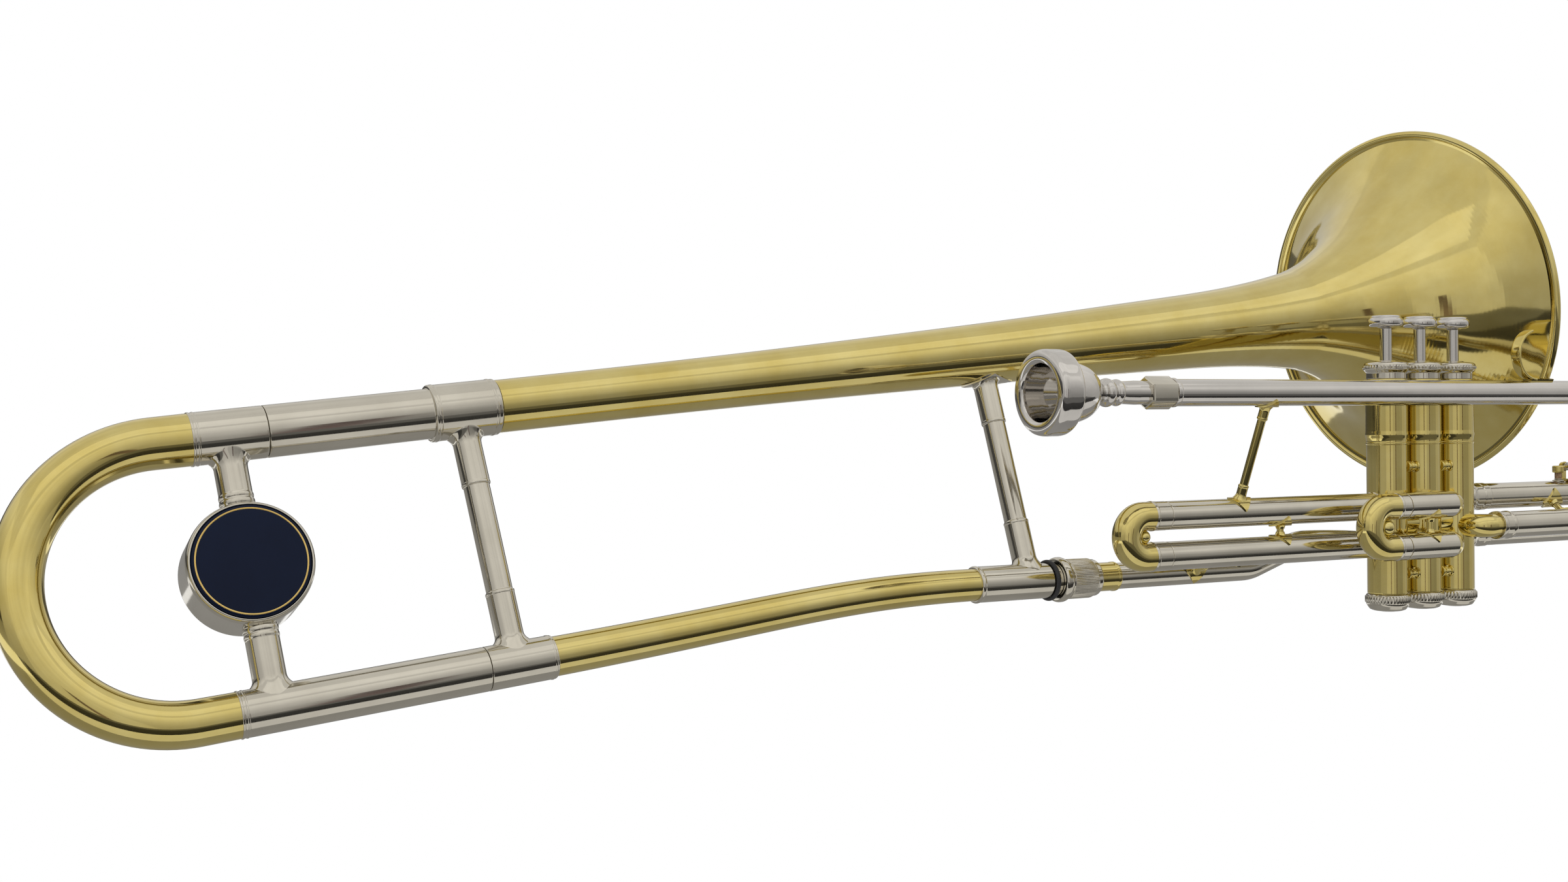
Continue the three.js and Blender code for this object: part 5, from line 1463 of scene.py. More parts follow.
    def make_bottom_cap(self, index: int) -> None:
        """Makes one bottom cap with its knurled skirt and vent."""
        high = self.bottom - 0.12
        floor = self.foot_bottom + 2.3
        neck, place = self.neck_radius, self.place(index)
        shape = bmesh.new()
        band = (high - 4.9, high - 0.7)
        knurled_ring_into(shape, self.foot_radius, neck + 0.1, 0.5, band, place, self.teeth)
        outline: Profile = [
            *placed(high, [(0, neck + 0.08), (0, 10.5), (-0.8, 10.9), (-4.9, 10.9), (-5.8, 10.7)]),
            (floor, 10.0), (floor - 1.2, 9.2),
            *placed(self.foot_bottom, [(0.35, 7.2), (0.3, 5.0), (0, 4.6), (0, 2.3), (0.3, 2.0)]),
            (floor, 2.0), (floor, neck + 0.08),
        ]
        spin_into(shape, rounded(closed(outline), 0.6), place, 80)
        piece = finished(f"bottom_cap_turned_{index + 1}", shape)
        dress(piece, Slot.NICKEL, f"bottom_cap_{index + 1}")

    def make_stem(self, index: int) -> None:
        """Turns the bright sleeve of a piston's stem between cap and button."""
        start = self.cap_top - 2.0
        end, radius = self.button_bottom - 0.1, self.stem_radius
        outline = tube_profile(start, end, radius + 0.06, radius - 0.4)
        piece = turned(f"valve_stem_{index + 1}", outline, self.place(index), 40)
        dress(piece, Slot.SILVER, body=f"valve_{index + 1}")

    def make_spring(self, index: int) -> None:
        """Winds one piston's return spring at its resting length; the coil stays as it is when the piston
        goes down.
        """
        pitch = self.spring_length / self.spring_turns / FULL_TURN
        steps = self.spring_turns * 20
        middle = (index - 1) * self.pitch

        def stop(step: int) -> tuple[Vector, Vector]:
            """Returns a point of the coil and its heading."""
            turn = FULL_TURN * self.spring_turns * step / steps
            across, along = math.cos(turn) * self.spring_radius, math.sin(turn) * self.spring_radius
            point = Vector((middle + across, along, self.spring_seat + pitch * turn))
            return point, Vector((-along, across, pitch))

        route = Route(*stop(0))
        for step in range(1, steps + 1):
            route.reach(*stop(step))
        shape = bmesh.new()
        sweep_into(shape, route, self.spring_wire, sides=12)
        piece = finished(f"return_spring_{index + 1}", shape)
        dress(piece, Slot.STEEL, f"valve_spring_{index + 1}")
        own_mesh(piece)

    def make_button(self, index: int) -> None:
        """Turns one finger button with its slightly hollow top."""
        low = self.button_bottom
        high = low + self.button_height
        radius = self.button_radius
        outline: Profile = [
            *placed(low, [
                (3.0, 0), (3.0, 1.7), (0, 1.7), (0, 3.9), (0.3, 4.3), (0.4, 6.9), (0.9, radius - 0.7),
                (1.8, radius - 0.1), (2.9, radius), (4.0, radius - 0.1), (4.9, radius - 0.6),
                (5.2, radius - 1.1),
            ]),
            *placed(high, [
                (-0.9, radius - 1.1), (-0.3, radius - 1.4), (0, radius - 2.3), (-0.15, 3.0), (-0.2, 0),
            ]),
        ]
        piece = turned(f"finger_button_{index + 1}", rounded(outline, 0.5), self.place(index), 80)
        dress(piece, Slot.SILVER, f"button_{index + 1}", body=f"valve_{index + 1}")

    def build(self) -> None:
        """Builds the whole section."""
        for index in range(3):
            self.make_casing(index)
            self.make_top_cap(index)
            self.make_bottom_cap(index)
            self.make_stem(index)
            self.make_spring(index)
            self.make_button(index)


@dataclass
class ValveSlide:
    """One valve's slide: two fixed legs and the bow that pulls out of them."""

    number: int
    body: str
    heading: Vector
    casing: Vector
    levels: tuple[float, float]
    outer_end: float
    ferrule_end: float
    bow_centre: float
    inner_end: float
    side: float = 0.0
    leg: float = SLIDE_LEG
    bore: float = 6.35
    inner: float = 6.05
    inner_bore: float = 5.35
    ferrule: float = 7.35
    elbow: float = 0.0
    ring_along: float | None = None
    drain_along: float | None = None
    leg_slot: Slot = Slot.NICKEL

    def level(self, along: float, height: float) -> Vector:
        """Returns a point on one of its legs."""
        return Vector((along, self.side, height))

    def out(self, along: float) -> float:
        """Returns the distance of a place from the casing's axis along the slide."""
        return (along - self.casing.x) * self.heading.x

    def straight_leg(self, shape: BMesh, height: float) -> None:
        """Adds a straight leg that starts on the casing with a narrow collar."""
        start = self.level(self.casing.x, height)
        mouth = self.out(self.outer_end)
        near = CASING_FACE
        leg, bore = self.leg, self.bore
        outline: Profile = [(near, bore), (near, leg + 0.75), (near + 1.1, leg + 0.75)]
        outline += [(near + 1.7, leg + 0.25), (near + 2.6, leg)]
        if self.ring_along is not None:
            ring = self.out(self.ring_along)
            outline += [(ring, leg), (ring + 0.3, self.ferrule)]
            outline += [(ring + 4.7, self.ferrule), (ring + 5, leg)]
        outline += [(mouth - 0.25, leg), (mouth, leg - 0.25), (mouth, bore)]
        verts = spin_into(shape, rounded(closed(outline), 0.25, 2), facing(start, self.heading), 56)
        seat_on(shape, verts, PipeLine(start, Z_AXIS, CASING_RADIUS), self.heading, 3.2)

    def elbow_leg(self, shape: BMesh, height: float) -> None:
        """Adds a leg that leaves the casing's near side and turns along the slide."""
        near = -Y_AXIS
        start = Vector((self.casing.x, 0, height)) + near * CASING_FACE
        turn_axis = Z_AXIS if self.heading.x > 0 else -Z_AXIS
        route = Route(start, near).straight(-self.side - self.elbow - CASING_FACE, 3)
        route.bend(turn_axis, QUARTER, self.elbow, 16)
        route.straight(self.out(self.outer_end) - self.elbow, 2)
        verts = pipe_into(shape, route, self.leg, self.bore, 56)
        casing = PipeLine(Vector((self.casing.x, 0, height)), Z_AXIS, CASING_RADIUS)
        seat_on(shape, verts, casing, near, 2.2)

    def make_elbow_tubes(self) -> None:
        """Turns the two nickel tubes that cover the straight runs after the elbows."""
        start = self.elbow - 2.4
        end = self.out(self.outer_end) - 0.05
        outline = tube_profile(start, end, self.leg + 0.16, self.leg - 0.2, 0.2)

        def build(shape: BMesh) -> None:
            """Adds both tubes."""
            for height in self.levels:
                spin_into(shape, outline, facing(self.level(self.casing.x, height), self.heading), 56)

        dress(merge_object(f"slide_{self.number}_tubes", build), Slot.NICKEL)

    def make_leg(self, name: str, height: float, drained: bool) -> None:
        """Makes one fixed leg.

        Args:
            name: Which leg it is, upper or lower.
            height: The height of its axis.
            drained: Whether it carries the drain of the water key.
        """
        shape = bmesh.new()
        if self.elbow:
            self.elbow_leg(shape, height)
        else:
            self.straight_leg(shape, height)
        if drained:
            self.add_drain(shape, height)
        piece = finished(f"slide_{self.number}_{name}_leg", shape)
        dress(piece, self.leg_slot, f"slide{self.number}_outer_{name}")

    def add_drain(self, shape: BMesh, height: float) -> None:
        """Adds the short turned nipple under the water key's cork."""
        top = CORK_BOTTOM - 0.05 - height
        outline: Profile = [
            (self.bore + 0.3, 1.2), (self.bore + 0.3, 3.1), (self.leg + 0.25, 3.1), (self.leg + 0.6, 2.3),
            *placed(top, [(-0.5, 1.9), (-0.15, 2.2), (0, 2.1), (0, 1.2)]),
        ]
        place = Matrix.Translation(self.level(self.drain_along, height))
        spin_into(shape, rounded(closed(outline), 0.15, 2), place, 32)

    def bow_route(self, along: float) -> Route:
        """Returns the line of the bow, starting and ending at a place along the legs."""
        upper, lower = self.levels
        turn_axis = Y_AXIS if self.heading.x > 0 else -Y_AXIS
        run = abs(self.bow_centre - along)
        route = Route(self.level(along, upper), self.heading).straight(run)
        return route.bend(turn_axis, math.pi, (upper - lower) / 2, 32).straight(run)

    def make_bow(self) -> None:
        """Draws the bow, with the ball that fills its crotch."""
        upper, lower = self.levels
        shape = bmesh.new()
        sweep_into(shape, self.bow_route(self.ferrule_end), self.leg, 48)
        centre = self.level(self.bow_centre, (upper + lower) / 2)
        ball_into(shape, centre, (upper - lower) / 2 - self.leg + 0.6, Vector((1, 1.15, 1)))
        piece = finished(f"slide_{self.number}_bow", shape)
        dress(piece, Slot.BRASS, f"slide{self.number}_moving", body=self.body)

    def make_ferrules(self) -> None:
        """Turns the two ferrules and the inner legs that slide in the fixed ones."""
        start = self.out(self.outer_end) + 0.1
        end = self.out(self.ferrule_end)
        tip = self.out(self.inner_end)
        leg, inner, bore, ferrule = self.leg, self.inner, self.inner_bore, self.ferrule
        outline: Profile = [
            (tip, bore), (tip, inner - 0.2), (tip + 0.3, inner), (start, inner), (start, leg - 0.15),
            (start + 0.25, leg + 0.08),
            *placed(end, [
                (-1.5, leg + 0.08), (-1.3, ferrule), (-0.5, ferrule), (-0.2, leg + 0.02), (0, leg + 0.02),
                (0, bore),
            ]),
        ]

        def build(shape: BMesh) -> None:
            """Adds both legs."""
            for height in self.levels:
                place = facing(self.level(self.casing.x, height), self.heading)
                spin_into(shape, rounded(closed(outline), 0.25, 2), place, 56)

        dress(merge_object(f"slide_{self.number}_ferrules", build), Slot.NICKEL, body=self.body)

    def build(self) -> None:
        """Builds the whole slide."""
        self.make_leg("upper", self.levels[0], drained=self.drain_along is not None)
        self.make_leg("lower", self.levels[1], drained=False)
        if self.elbow:
            self.make_elbow_tubes()
        self.make_bow()
        self.make_ferrules()


@dataclass
class AirPipes:
    """The leadpipe with its mouthpiece, the front crook, the return pipe and the exit pipe."""

    side: float = LEAD_SIDE
    lead: float = LEAD_RADIUS
    lead_bore: float = 5.85
    lead_rear: float = -185.2
    crook_joint: float = 366.0
    crook_ferrule: float = 12.0
    return_height: float = RETURN_HEIGHT
    return_radius: float = RETURN_RADIUS
    return_rear: float = 36.0
    hex_rear: float = -200.5
    across_flats: float = 13.8
    rim_front: float = -262.0
    return_ferrule: float = 7.2
    exit_side: float = EXIT_SIDE
    exit_height: float = EXIT_HEIGHT
    exit_radius: float = EXIT_RADIUS
    exit_rear: float = -245.9
    exit_port: float = -80.0
    sleeve_end: float = 71.6
    nut_rear: float = -211.1
    nut_length: float = 24.2
    nut_step: float = 6.45
    valve_axis: float = VALVE_PITCH

    def make_leadpipe(self) -> None:
        """Turns the long leadpipe with its two narrow rings."""
        start, end = self.lead_rear, self.crook_joint
        outline: Profile = [
            *placed(start, [
                (0, self.lead_bore), (0, self.lead + 0.5), (2.2, self.lead + 0.5), (2.6, self.lead),
            ]),
            *placed(end, [
                (-2.6, self.lead), (-2.3, self.lead + 0.45), (-0.3, self.lead + 0.45),
                (0, self.lead + 0.2), (0, self.lead_bore),
            ]),
        ]
        place = facing(Vector((0, self.side, 0)), X_AXIS)
        piece = turned("leadpipe_drawn", rounded(closed(outline), 0.3), place)
        dress(piece, Slot.SILVER, "leadpipe")

    def make_hexagon(self) -> None:
        """Makes the six-sided receiver of the mouthpiece with chamfered ends."""
        length = self.lead_rear - 0.15 - self.hex_rear
        across = self.across_flats / 2 / math.cos(math.pi / 6)
        shape = bmesh.new()
        base = bmesh.ops.create_circle(shape, cap_ends=True, radius=across, segments=6)["verts"]
        grown = bmesh.ops.extrude_face_region(shape, geom=list(base[0].link_faces))["geom"]
        top = [item for item in grown if isinstance(item, BMVert)]
        bmesh.ops.translate(shape, vec=(0, 0, length), verts=top)
        ends = [edge for edge in shape.edges if abs(edge.verts[0].co.z - edge.verts[1].co.z) < 1e-6]
        soften(shape, ends, 0.9, 2)
        sides = [edge for edge in shape.edges if abs(edge.verts[0].co.z - edge.verts[1].co.z) > length / 2]
        soften(shape, sides, 0.25, 2)
        place = facing(Vector((self.hex_rear, self.side, 0)), X_AXIS) @ Matrix.Rotation(math.pi / 6, 4, "Z")
        bmesh.ops.transform(shape, matrix=place, verts=shape.verts)
        piece = finished("hexagon_receiver", shape, math.radians(20))
        dress(piece, Slot.NICKEL, "mouthpiece_receiver")

    def make_mouthpiece(self) -> None:
        """Turns the mouthpiece: rim, bowl, waist, bead and shank."""
        outer: Profile = [
            (3.2, 13.0), (1.2, 13.4), (0.3, 14.6), (0.0, 16.2), (0.4, 18.2), (1.6, 19.4), (3.4, 19.85),
            (6.0, 19.9), (10.6, 19.85), (12.2, 19.3), (12.8, 17.6), (13.2, 15.7), (14.2, 15.1),
            (17.0, 14.6), (22.0, 13.4), (26.0, 11.9), (29.2, 9.6), (31.6, 7.0), (33.6, 5.2), (35.0, 4.5),
            (36.0, 4.9), (36.9, 6.2), (38.6, 6.75), (40.4, 6.2), (41.6, 5.2), (42.4, 5.0), (43.2, 5.9),
            (44.4, 6.3), (45.6, 5.9), (46.4, 5.3), (55.0, 5.65),
        ]
        dense = smoothed(outer, 4)
        inner: Profile = [
            (82.0, 5.3), (82.0, 4.2), (36.7, 2.8), (27.0, 2.9), (24.0, 5.0), (19.0, 9.4), (12.0, 11.9),
            (6.5, 12.7), (3.2, 13.0),
        ]
        place = facing(Vector((self.rim_front, self.side, 0)), X_AXIS)
        profile = [*dense, *rounded(inner, 1.5, 4)]
        dress(turned("mouthpiece_turned", profile, place, 112), Slot.SILVER, "mouthpiece", body="mouthpiece")

    def make_crook(self) -> None:
        """Draws the front crook and turns its two ferrules."""
        start = Vector((self.crook_joint + 0.1, self.side, 0))
        radius = -self.return_height / 2
        route = Route(start, X_AXIS).straight(self.crook_ferrule, 2)
        route.bend(Y_AXIS, math.pi, radius, 64).straight(self.crook_ferrule, 2)
        shape = bmesh.new()
        pipe_into(shape, route, self.lead + 0.1, self.lead_bore, 48)
        dress(finished("front_crook_drawn", shape), Slot.BRASS, "front_crook")

        def build(shape: BMesh) -> None:
            """Adds both ferrules."""
            outline: Profile = [
                (0, 6.0), (0, 7.0), (0.3, 7.25), (2.0, 7.25), (2.3, 6.95),
                *placed(self.crook_ferrule, [(-2.2, 6.95), (-1.9, 7.2), (-0.2, 7.2), (0, 6.9), (0, 6.0)]),
            ]
            for drop in (0, self.return_height):
                place = facing(start + Vector((0, 0, drop)), X_AXIS)
                spin_into(shape, rounded(closed(outline), 0.25, 2), place, 56)

        dress(merge_object("crook_ferrules", build), Slot.NICKEL)

    def make_return(self) -> None:
        """Turns the return pipe and draws the elbow into the third valve."""
        start, end = self.return_rear, self.crook_joint
        radius, ferrule = self.return_radius, self.return_ferrule
        ring = ferrule + 0.3
        outline: Profile = [
            *placed(start, [
                (0, 6.1), (0, ferrule), (0.3, ring), (2.2, ring), (2.5, ferrule), (7.3, ferrule),
                (7.6, ring), (9.3, ring), (9.6, radius),
            ]),
            *placed(end, [
                (-2.8, radius), (-2.5, radius + 0.35), (-0.2, radius + 0.35), (0, radius + 0.1), (0, 6.1),
            ]),
        ]
        place = facing(Vector((0, self.side, self.return_height)), X_AXIS)
        piece = turned("return_pipe_drawn", rounded(closed(outline), 0.25, 2), place)
        dress(piece, Slot.NICKEL, "return_tube")
        bend = -self.side - CASING_FACE - 0.5
        port = Vector((self.valve_axis, -CASING_FACE, self.return_height))
        route = Route(port, -Y_AXIS).straight(0.5)
        route.bend(Z_AXIS, QUARTER, bend, 16).straight(self.return_rear - 0.15 - self.valve_axis - bend, 2)
        shape = bmesh.new()
        verts = pipe_into(shape, route, 6.2, 5.0, 48)
        casing = PipeLine(Vector((self.valve_axis, 0, self.return_height)), Z_AXIS, CASING_RADIUS)
        seat_on(shape, verts, casing, -Y_AXIS, 0.9)
        dress(finished("return_elbow_drawn", shape), Slot.BRASS, "return_elbow")

    def make_exit(self) -> None:
        """Draws the exit pipe from the lock nut up into the first valve."""
        start = Vector((self.exit_rear, self.exit_side, self.exit_height))
        rise, run_start, elbow = 30.0, -90.0, 20.0
        rise_end = -self.valve_axis - elbow
        run = rise_end - run_start
        climb = self.exit_port - self.exit_height
        doubled = rise * 2
        slant = math.sqrt(run**2 + (climb - doubled) ** 2 - doubled**2)
        angle = math.atan2(climb - doubled, run) + math.atan2(doubled, slant)
        route = Route(start, X_AXIS).straight(run_start - start.x, 8)
        route.bend(-Y_AXIS, angle, rise, 10).straight(slant, 2).bend(Y_AXIS, angle, rise, 10)
        route.bend(-Z_AXIS, QUARTER, elbow, 24).straight(self.exit_side - elbow - CASING_FACE, 3)
        shape = bmesh.new()
        verts = pipe_into(shape, route, self.exit_radius, 5.8, 48)
        casing = PipeLine(Vector((-self.valve_axis, 0, self.exit_port)), Z_AXIS, CASING_RADIUS)
        seat_on(shape, verts, casing, Y_AXIS, 2.5)
        dress(finished("exit_pipe_drawn", shape), Slot.NICKEL, "exit_tube")
        end = self.sleeve_end
        outline: Profile = [
            (0, 6.5), (0, 7.2),
            *placed(end, [(-1.8, 7.2), (-1.6, 7.45), (-0.2, 7.45), (0, 7.2), (0, 6.5)]),
        ]
        sleeve = turned("exit_sleeve", rounded(closed(outline), 0.25, 2), facing(start, X_AXIS), 56)
        dress(sleeve, Slot.BRASS)

    def make_lock_nut(self) -> None:
        """Makes the knurled nut that locks the bell section to the valve section."""
        length, step = self.nut_length, self.nut_step
        place = facing(Vector((self.nut_rear, self.exit_side, self.exit_height)), X_AXIS)
        shape = bmesh.new()
        knurled_ring_into(shape, 9.95, 8.9, 0.2, (6.2, length - 4.0), place, 84)
        outline: Profile = [
            (0, 8.45), (0, 10.3), (0.5, 10.9), (1.5, 11.2), (3.2, 11.2), (4.3, 10.8), (5.0, 9.9),
            (5.4, 9.6),
            *placed(length, [(-3.6, 9.6), (-3.2, 9.3), (-0.8, 9.2), (0, 8.4), (0, 7.95)]),
            (step, 7.95), (step, 8.45),
        ]
        spin_into(shape, rounded(closed(outline), 0.4, 2), place, 80)
        dress(finished("lock_nut_knurled", shape), Slot.NICKEL, "lock_nut", body="lock_nut")

    def build(self) -> None:
        """Builds all the pipes."""
        self.make_leadpipe()
        self.make_hexagon()
        self.make_mouthpiece()
        self.make_crook()
        self.make_return()
        self.make_exit()
        self.make_lock_nut()


@dataclass
class Struts:
    """The small struts with diamond feet that tie the pipes together."""

    rod: float = 2.1
    socket: float = 2.5
    leadpipe: tuple[float, float, float] = (LEAD_SIDE, 0.0, LEAD_RADIUS)
    exit_pipe: tuple[float, float, float] = (EXIT_SIDE, EXIT_HEIGHT, EXIT_RADIUS)
    return_pipe: tuple[float, float, float] = (LEAD_SIDE, RETURN_HEIGHT, RETURN_RADIUS)

    def line(self, along: float, pipe: tuple[float, float, float]) -> PipeLine:
        """Returns the pipe with a given side, height and radius, at a place along the instrument."""
        side, height, radius = pipe
        return PipeLine(Vector((along, side, height)), X_AXIS, radius)

    def make(self, node: str, first: PipeLine, second: PipeLine, long: bool = False) -> None:
        """Makes one strut.

        Args:
            node: The solid that it replaces.
            first: The first pipe.
            second: The second pipe.
            long: Whether it has room for its sockets.
        """
        if long:
            strut = Strut(first, second, self.rod, self.socket, socket_length=7)
        else:
            strut = Strut(first, second, rod=1.7, socket=2.0, socket_length=1.2, flare=0.8)
        dress(merge_object(f"{node}_turned", strut.build), Slot.BRASS, node)

    def build(self) -> None:
        """Builds them all."""
        first, first_low = ((0.0, height, SLIDE_LEG) for height in FIRST_LEVELS)
        second, second_low = ((SECOND_SIDE, height, SECOND_LEG) for height in SECOND_LEVELS)
        third = (0.0, THIRD_LEVELS[0], SLIDE_LEG)
        self.make("leadpipe_brace", self.line(-123, self.leadpipe), self.line(-129, first), long=True)
        self.make("exit_brace", self.line(-126, first_low), self.line(-126, self.exit_pipe), long=True)
        self.make("slide1_brace", self.line(-100, first), self.line(-100, first_low))
        self.make("slide2_brace", self.line(-20, second), self.line(-20, second_low))
        self.make("return_strut", self.line(97, self.return_pipe), self.line(97, third))


@dataclass
class FingerHook:
    """The hook for the finger on top of the leadpipe."""

    side: float = LEAD_SIDE
    pipe: float = LEAD_RADIUS
    foot: tuple[float, float] = (62.0, 79.4)
    centre_along: float = 66.5
    curl: float = 13.2
    thickness: float = 1.5
    width: float = 6.0
    tip: float = math.radians(78)
    tip_reach: float = 0.7
    tip_narrowing: float = 0.94

    def build(self) -> None:
        """Bends the band and lays its saddle on the pipe."""
        height = self.pipe + 0.05 + 0.65 + self.curl
        centre = Vector((self.centre_along, self.side, height))
        route = Route(centre - Z_AXIS * self.curl, -X_AXIS)
        route.bend(Y_AXIS, QUARTER + self.tip, self.curl, 48)
        shape = bmesh.new()
        flat = (self.thickness / 2, self.width / 2)
        sweep_into(shape, route, radius=1.0, sides=32, flat=flat, square=0.45)
        tip = route.points[-1]
        for vert in shape.verts:
            if (vert.co - tip).length < self.width * self.tip_reach:
                vert.co.y = self.side + (vert.co.y - self.side) * self.tip_narrowing
        rear, front = self.foot
        middle = (rear + front) / 2
        saddle = PipeLine(Vector((middle, self.side, 0)), X_AXIS, self.pipe)
        saddle_into(shape, saddle, Z_AXIS, (front - rear) / 2, self.width / 2, thickness=1.3)
        dress(finished("finger_hook_bent", shape), Slot.BRASS, "finger_hook")


@dataclass
class WaterKey:
    """The water key on the third slide: saddle, pin, lever, cork and spring."""

    drain: float = DRAIN_ALONG
    leg_height: float = THIRD_LEVELS[0]
    leg: float = SLIDE_LEG
    pin: Vector = field(default_factory=lambda: Vector((118, 0, -41.3)))
    pin_radius: float = 0.95
    ear: tuple[float, float] = (3.9, 5.2)
    ear_half: float = 2.3
    ear_radius: float = 2.4
    bar_top: float = -40.7
    bar_thickness: float = 1.3
    bar_half: float = 2.2
    window_half: float = 5.0
    cheek: tuple[float, float] = (2.75, 3.78)
    cheek_radius: float = 2.7
    cup_floor: float = -43.0
    cup_rim: float = -44.6
    cup_bore: float = 2.0
    pad_along: float = 135.0

    def make_bracket(self) -> None:
        """Makes the saddle, the two ears and the pin."""
        shape = bmesh.new()
        line = PipeLine(Vector((self.pin.x, 0, self.leg_height)), X_AXIS, self.leg)
        saddle_into(shape, line, Z_AXIS, half_length=4.4, half_width=6.2, thickness=1.1)
        inner, outer = self.ear
        wide = self.ear_radius
        for sign in (-1, 1):
            near, far = sorted((sign * inner, sign * outer))
            low = Vector((self.pin.x - self.ear_half, near, self.leg_height + 4.4))
            high = Vector((self.pin.x + self.ear_half, far, self.pin.z))
            block_into(shape, low, high, 0.2)
            place = facing(Vector((self.pin.x, sign * inner, self.pin.z)), Y_AXIS * sign)
            ear: Profile = [(0, 0), (0, wide), (1.3, wide), (1.3, 1.3), (1.7, 1.1), (1.7, 0)]
            spin_into(shape, rounded(ear, 0.25, 2), place, 32)
        reach, radius = inner + 0.5, self.pin_radius
        place = facing(self.pin - Y_AXIS * reach, Y_AXIS)
        spin_into(shape, [(0, 0), (0, radius), (reach * 2, radius), (reach * 2, 0)], place, 24)
        dress(finished("water_key_saddle", shape), Slot.BRASS, "water_key_bracket")

    def make_lever(self) -> None:
        """Makes the lever with its cup, its window for the spring and its thumb pad."""
        shape = bmesh.new()
        top = self.bar_top
        low = top - self.bar_thickness
        pin, half, window = self.pin.x, self.bar_half, self.window_half
        gap = window - 1.3
        block_into(shape, Vector((self.drain, -half, low)), Vector((pin - gap, half, top)), 0.3)
        block_into(shape, Vector((pin + gap, -half, low)), Vector((self.pad_along, half, top)), 0.3)
        inside, outside = self.cheek
        for sign in (-1, 1):
            near, far = sorted((sign * inside, sign * outside))
            block_into(shape, Vector((pin - window, near, low)), Vector((pin + window, far, top)), 0.25)
            place = facing(Vector((pin, sign * inside, self.pin.z)), Y_AXIS * sign)
            wide = self.cheek_radius
            cheek: Profile = [(0, 1.1), (0, wide), (1.03, wide), (1.03, 1.1)]
            spin_into(shape, rounded(closed(cheek), 0.2, 2), place, 32)
        for start in (pin - window, pin + gap):
            block_into(shape, Vector((start, -3.6, low)), Vector((start + 1.3, 3.6, top)), 0.25)
        floor, rim, bore = self.cup_floor, self.cup_rim, self.cup_bore
        cup: Profile = [(rim, bore), (rim, 2.9), (rim + 0.4, 3.1), (top - 0.5, 3.1), (top, 2.7), (top, 0)]
        hollow: Profile = [(floor, 0), (floor, bore), (rim, bore)]
        place = Matrix.Translation((self.drain, 0, 0))
        spin_into(shape, [*hollow, *rounded(cup, 0.3, 2)[1:]], place, 40)
        pad: Profile = [(top - 1.5, 0), (top - 1.5, 4.9), (top - 1.1, 5.5), (top - 0.5, 5.6), (top, 5.1)]
        pad += [(top - 0.25, 3.6), (top - 0.35, 0)]
        place = Matrix.Translation((self.pad_along, 0, 0))
        spin_into(shape, rounded(pad, 0.4), place, 48)
        dress(finished("water_key_bar", shape), Slot.BRASS, "water_key_lever", body="water_key")

    def make_cork(self) -> None:
        """Turns the cork that closes the drain."""
        low, high = CORK_BOTTOM, self.cup_floor
        outline: Profile = [(low, 0), (low, 1.75), (low + 0.25, 1.9), (high, 1.9), (high, 0)]
        piece = turned("water_key_plug", outline, Matrix.Translation((self.drain, 0, 0)), 32)
        dress(piece, Slot.CORK, "water_key_cork", body="water_key")

    def make_spring(self) -> None:
        """Winds the small spring round the pin."""
        curls, pitch, radius, wire = 3, 1.25, 2.0, 0.34
        length, steps = curls * pitch, curls * 24
        route = Route(self.pin + Vector((0, -length / 2, -radius)), X_AXIS)
        for step in range(1, steps + 1):
            turn = FULL_TURN * curls * step / steps
            across, rise = math.sin(turn) * radius, math.cos(turn) * radius
            place = self.pin + Vector((across, length * (step / steps - 0.5), -rise))
            route.reach(place, Vector((rise, pitch / FULL_TURN, across)))
        shape = bmesh.new()
        sweep_into(shape, route, wire, sides=12)
        dress(finished("water_key_coil", shape), Slot.STEEL, "water_key_spring")

    def build(self) -> None:
        """Builds the whole key."""
        self.make_bracket()
        self.make_lever()
        self.make_cork()
        self.make_spring()


FLOOR = -0.62
LEFT, RIGHT, NEAR, FAR, TOP = -3.2, 2.8, -2.6, 2.6, 2.4
THICK = 0.02


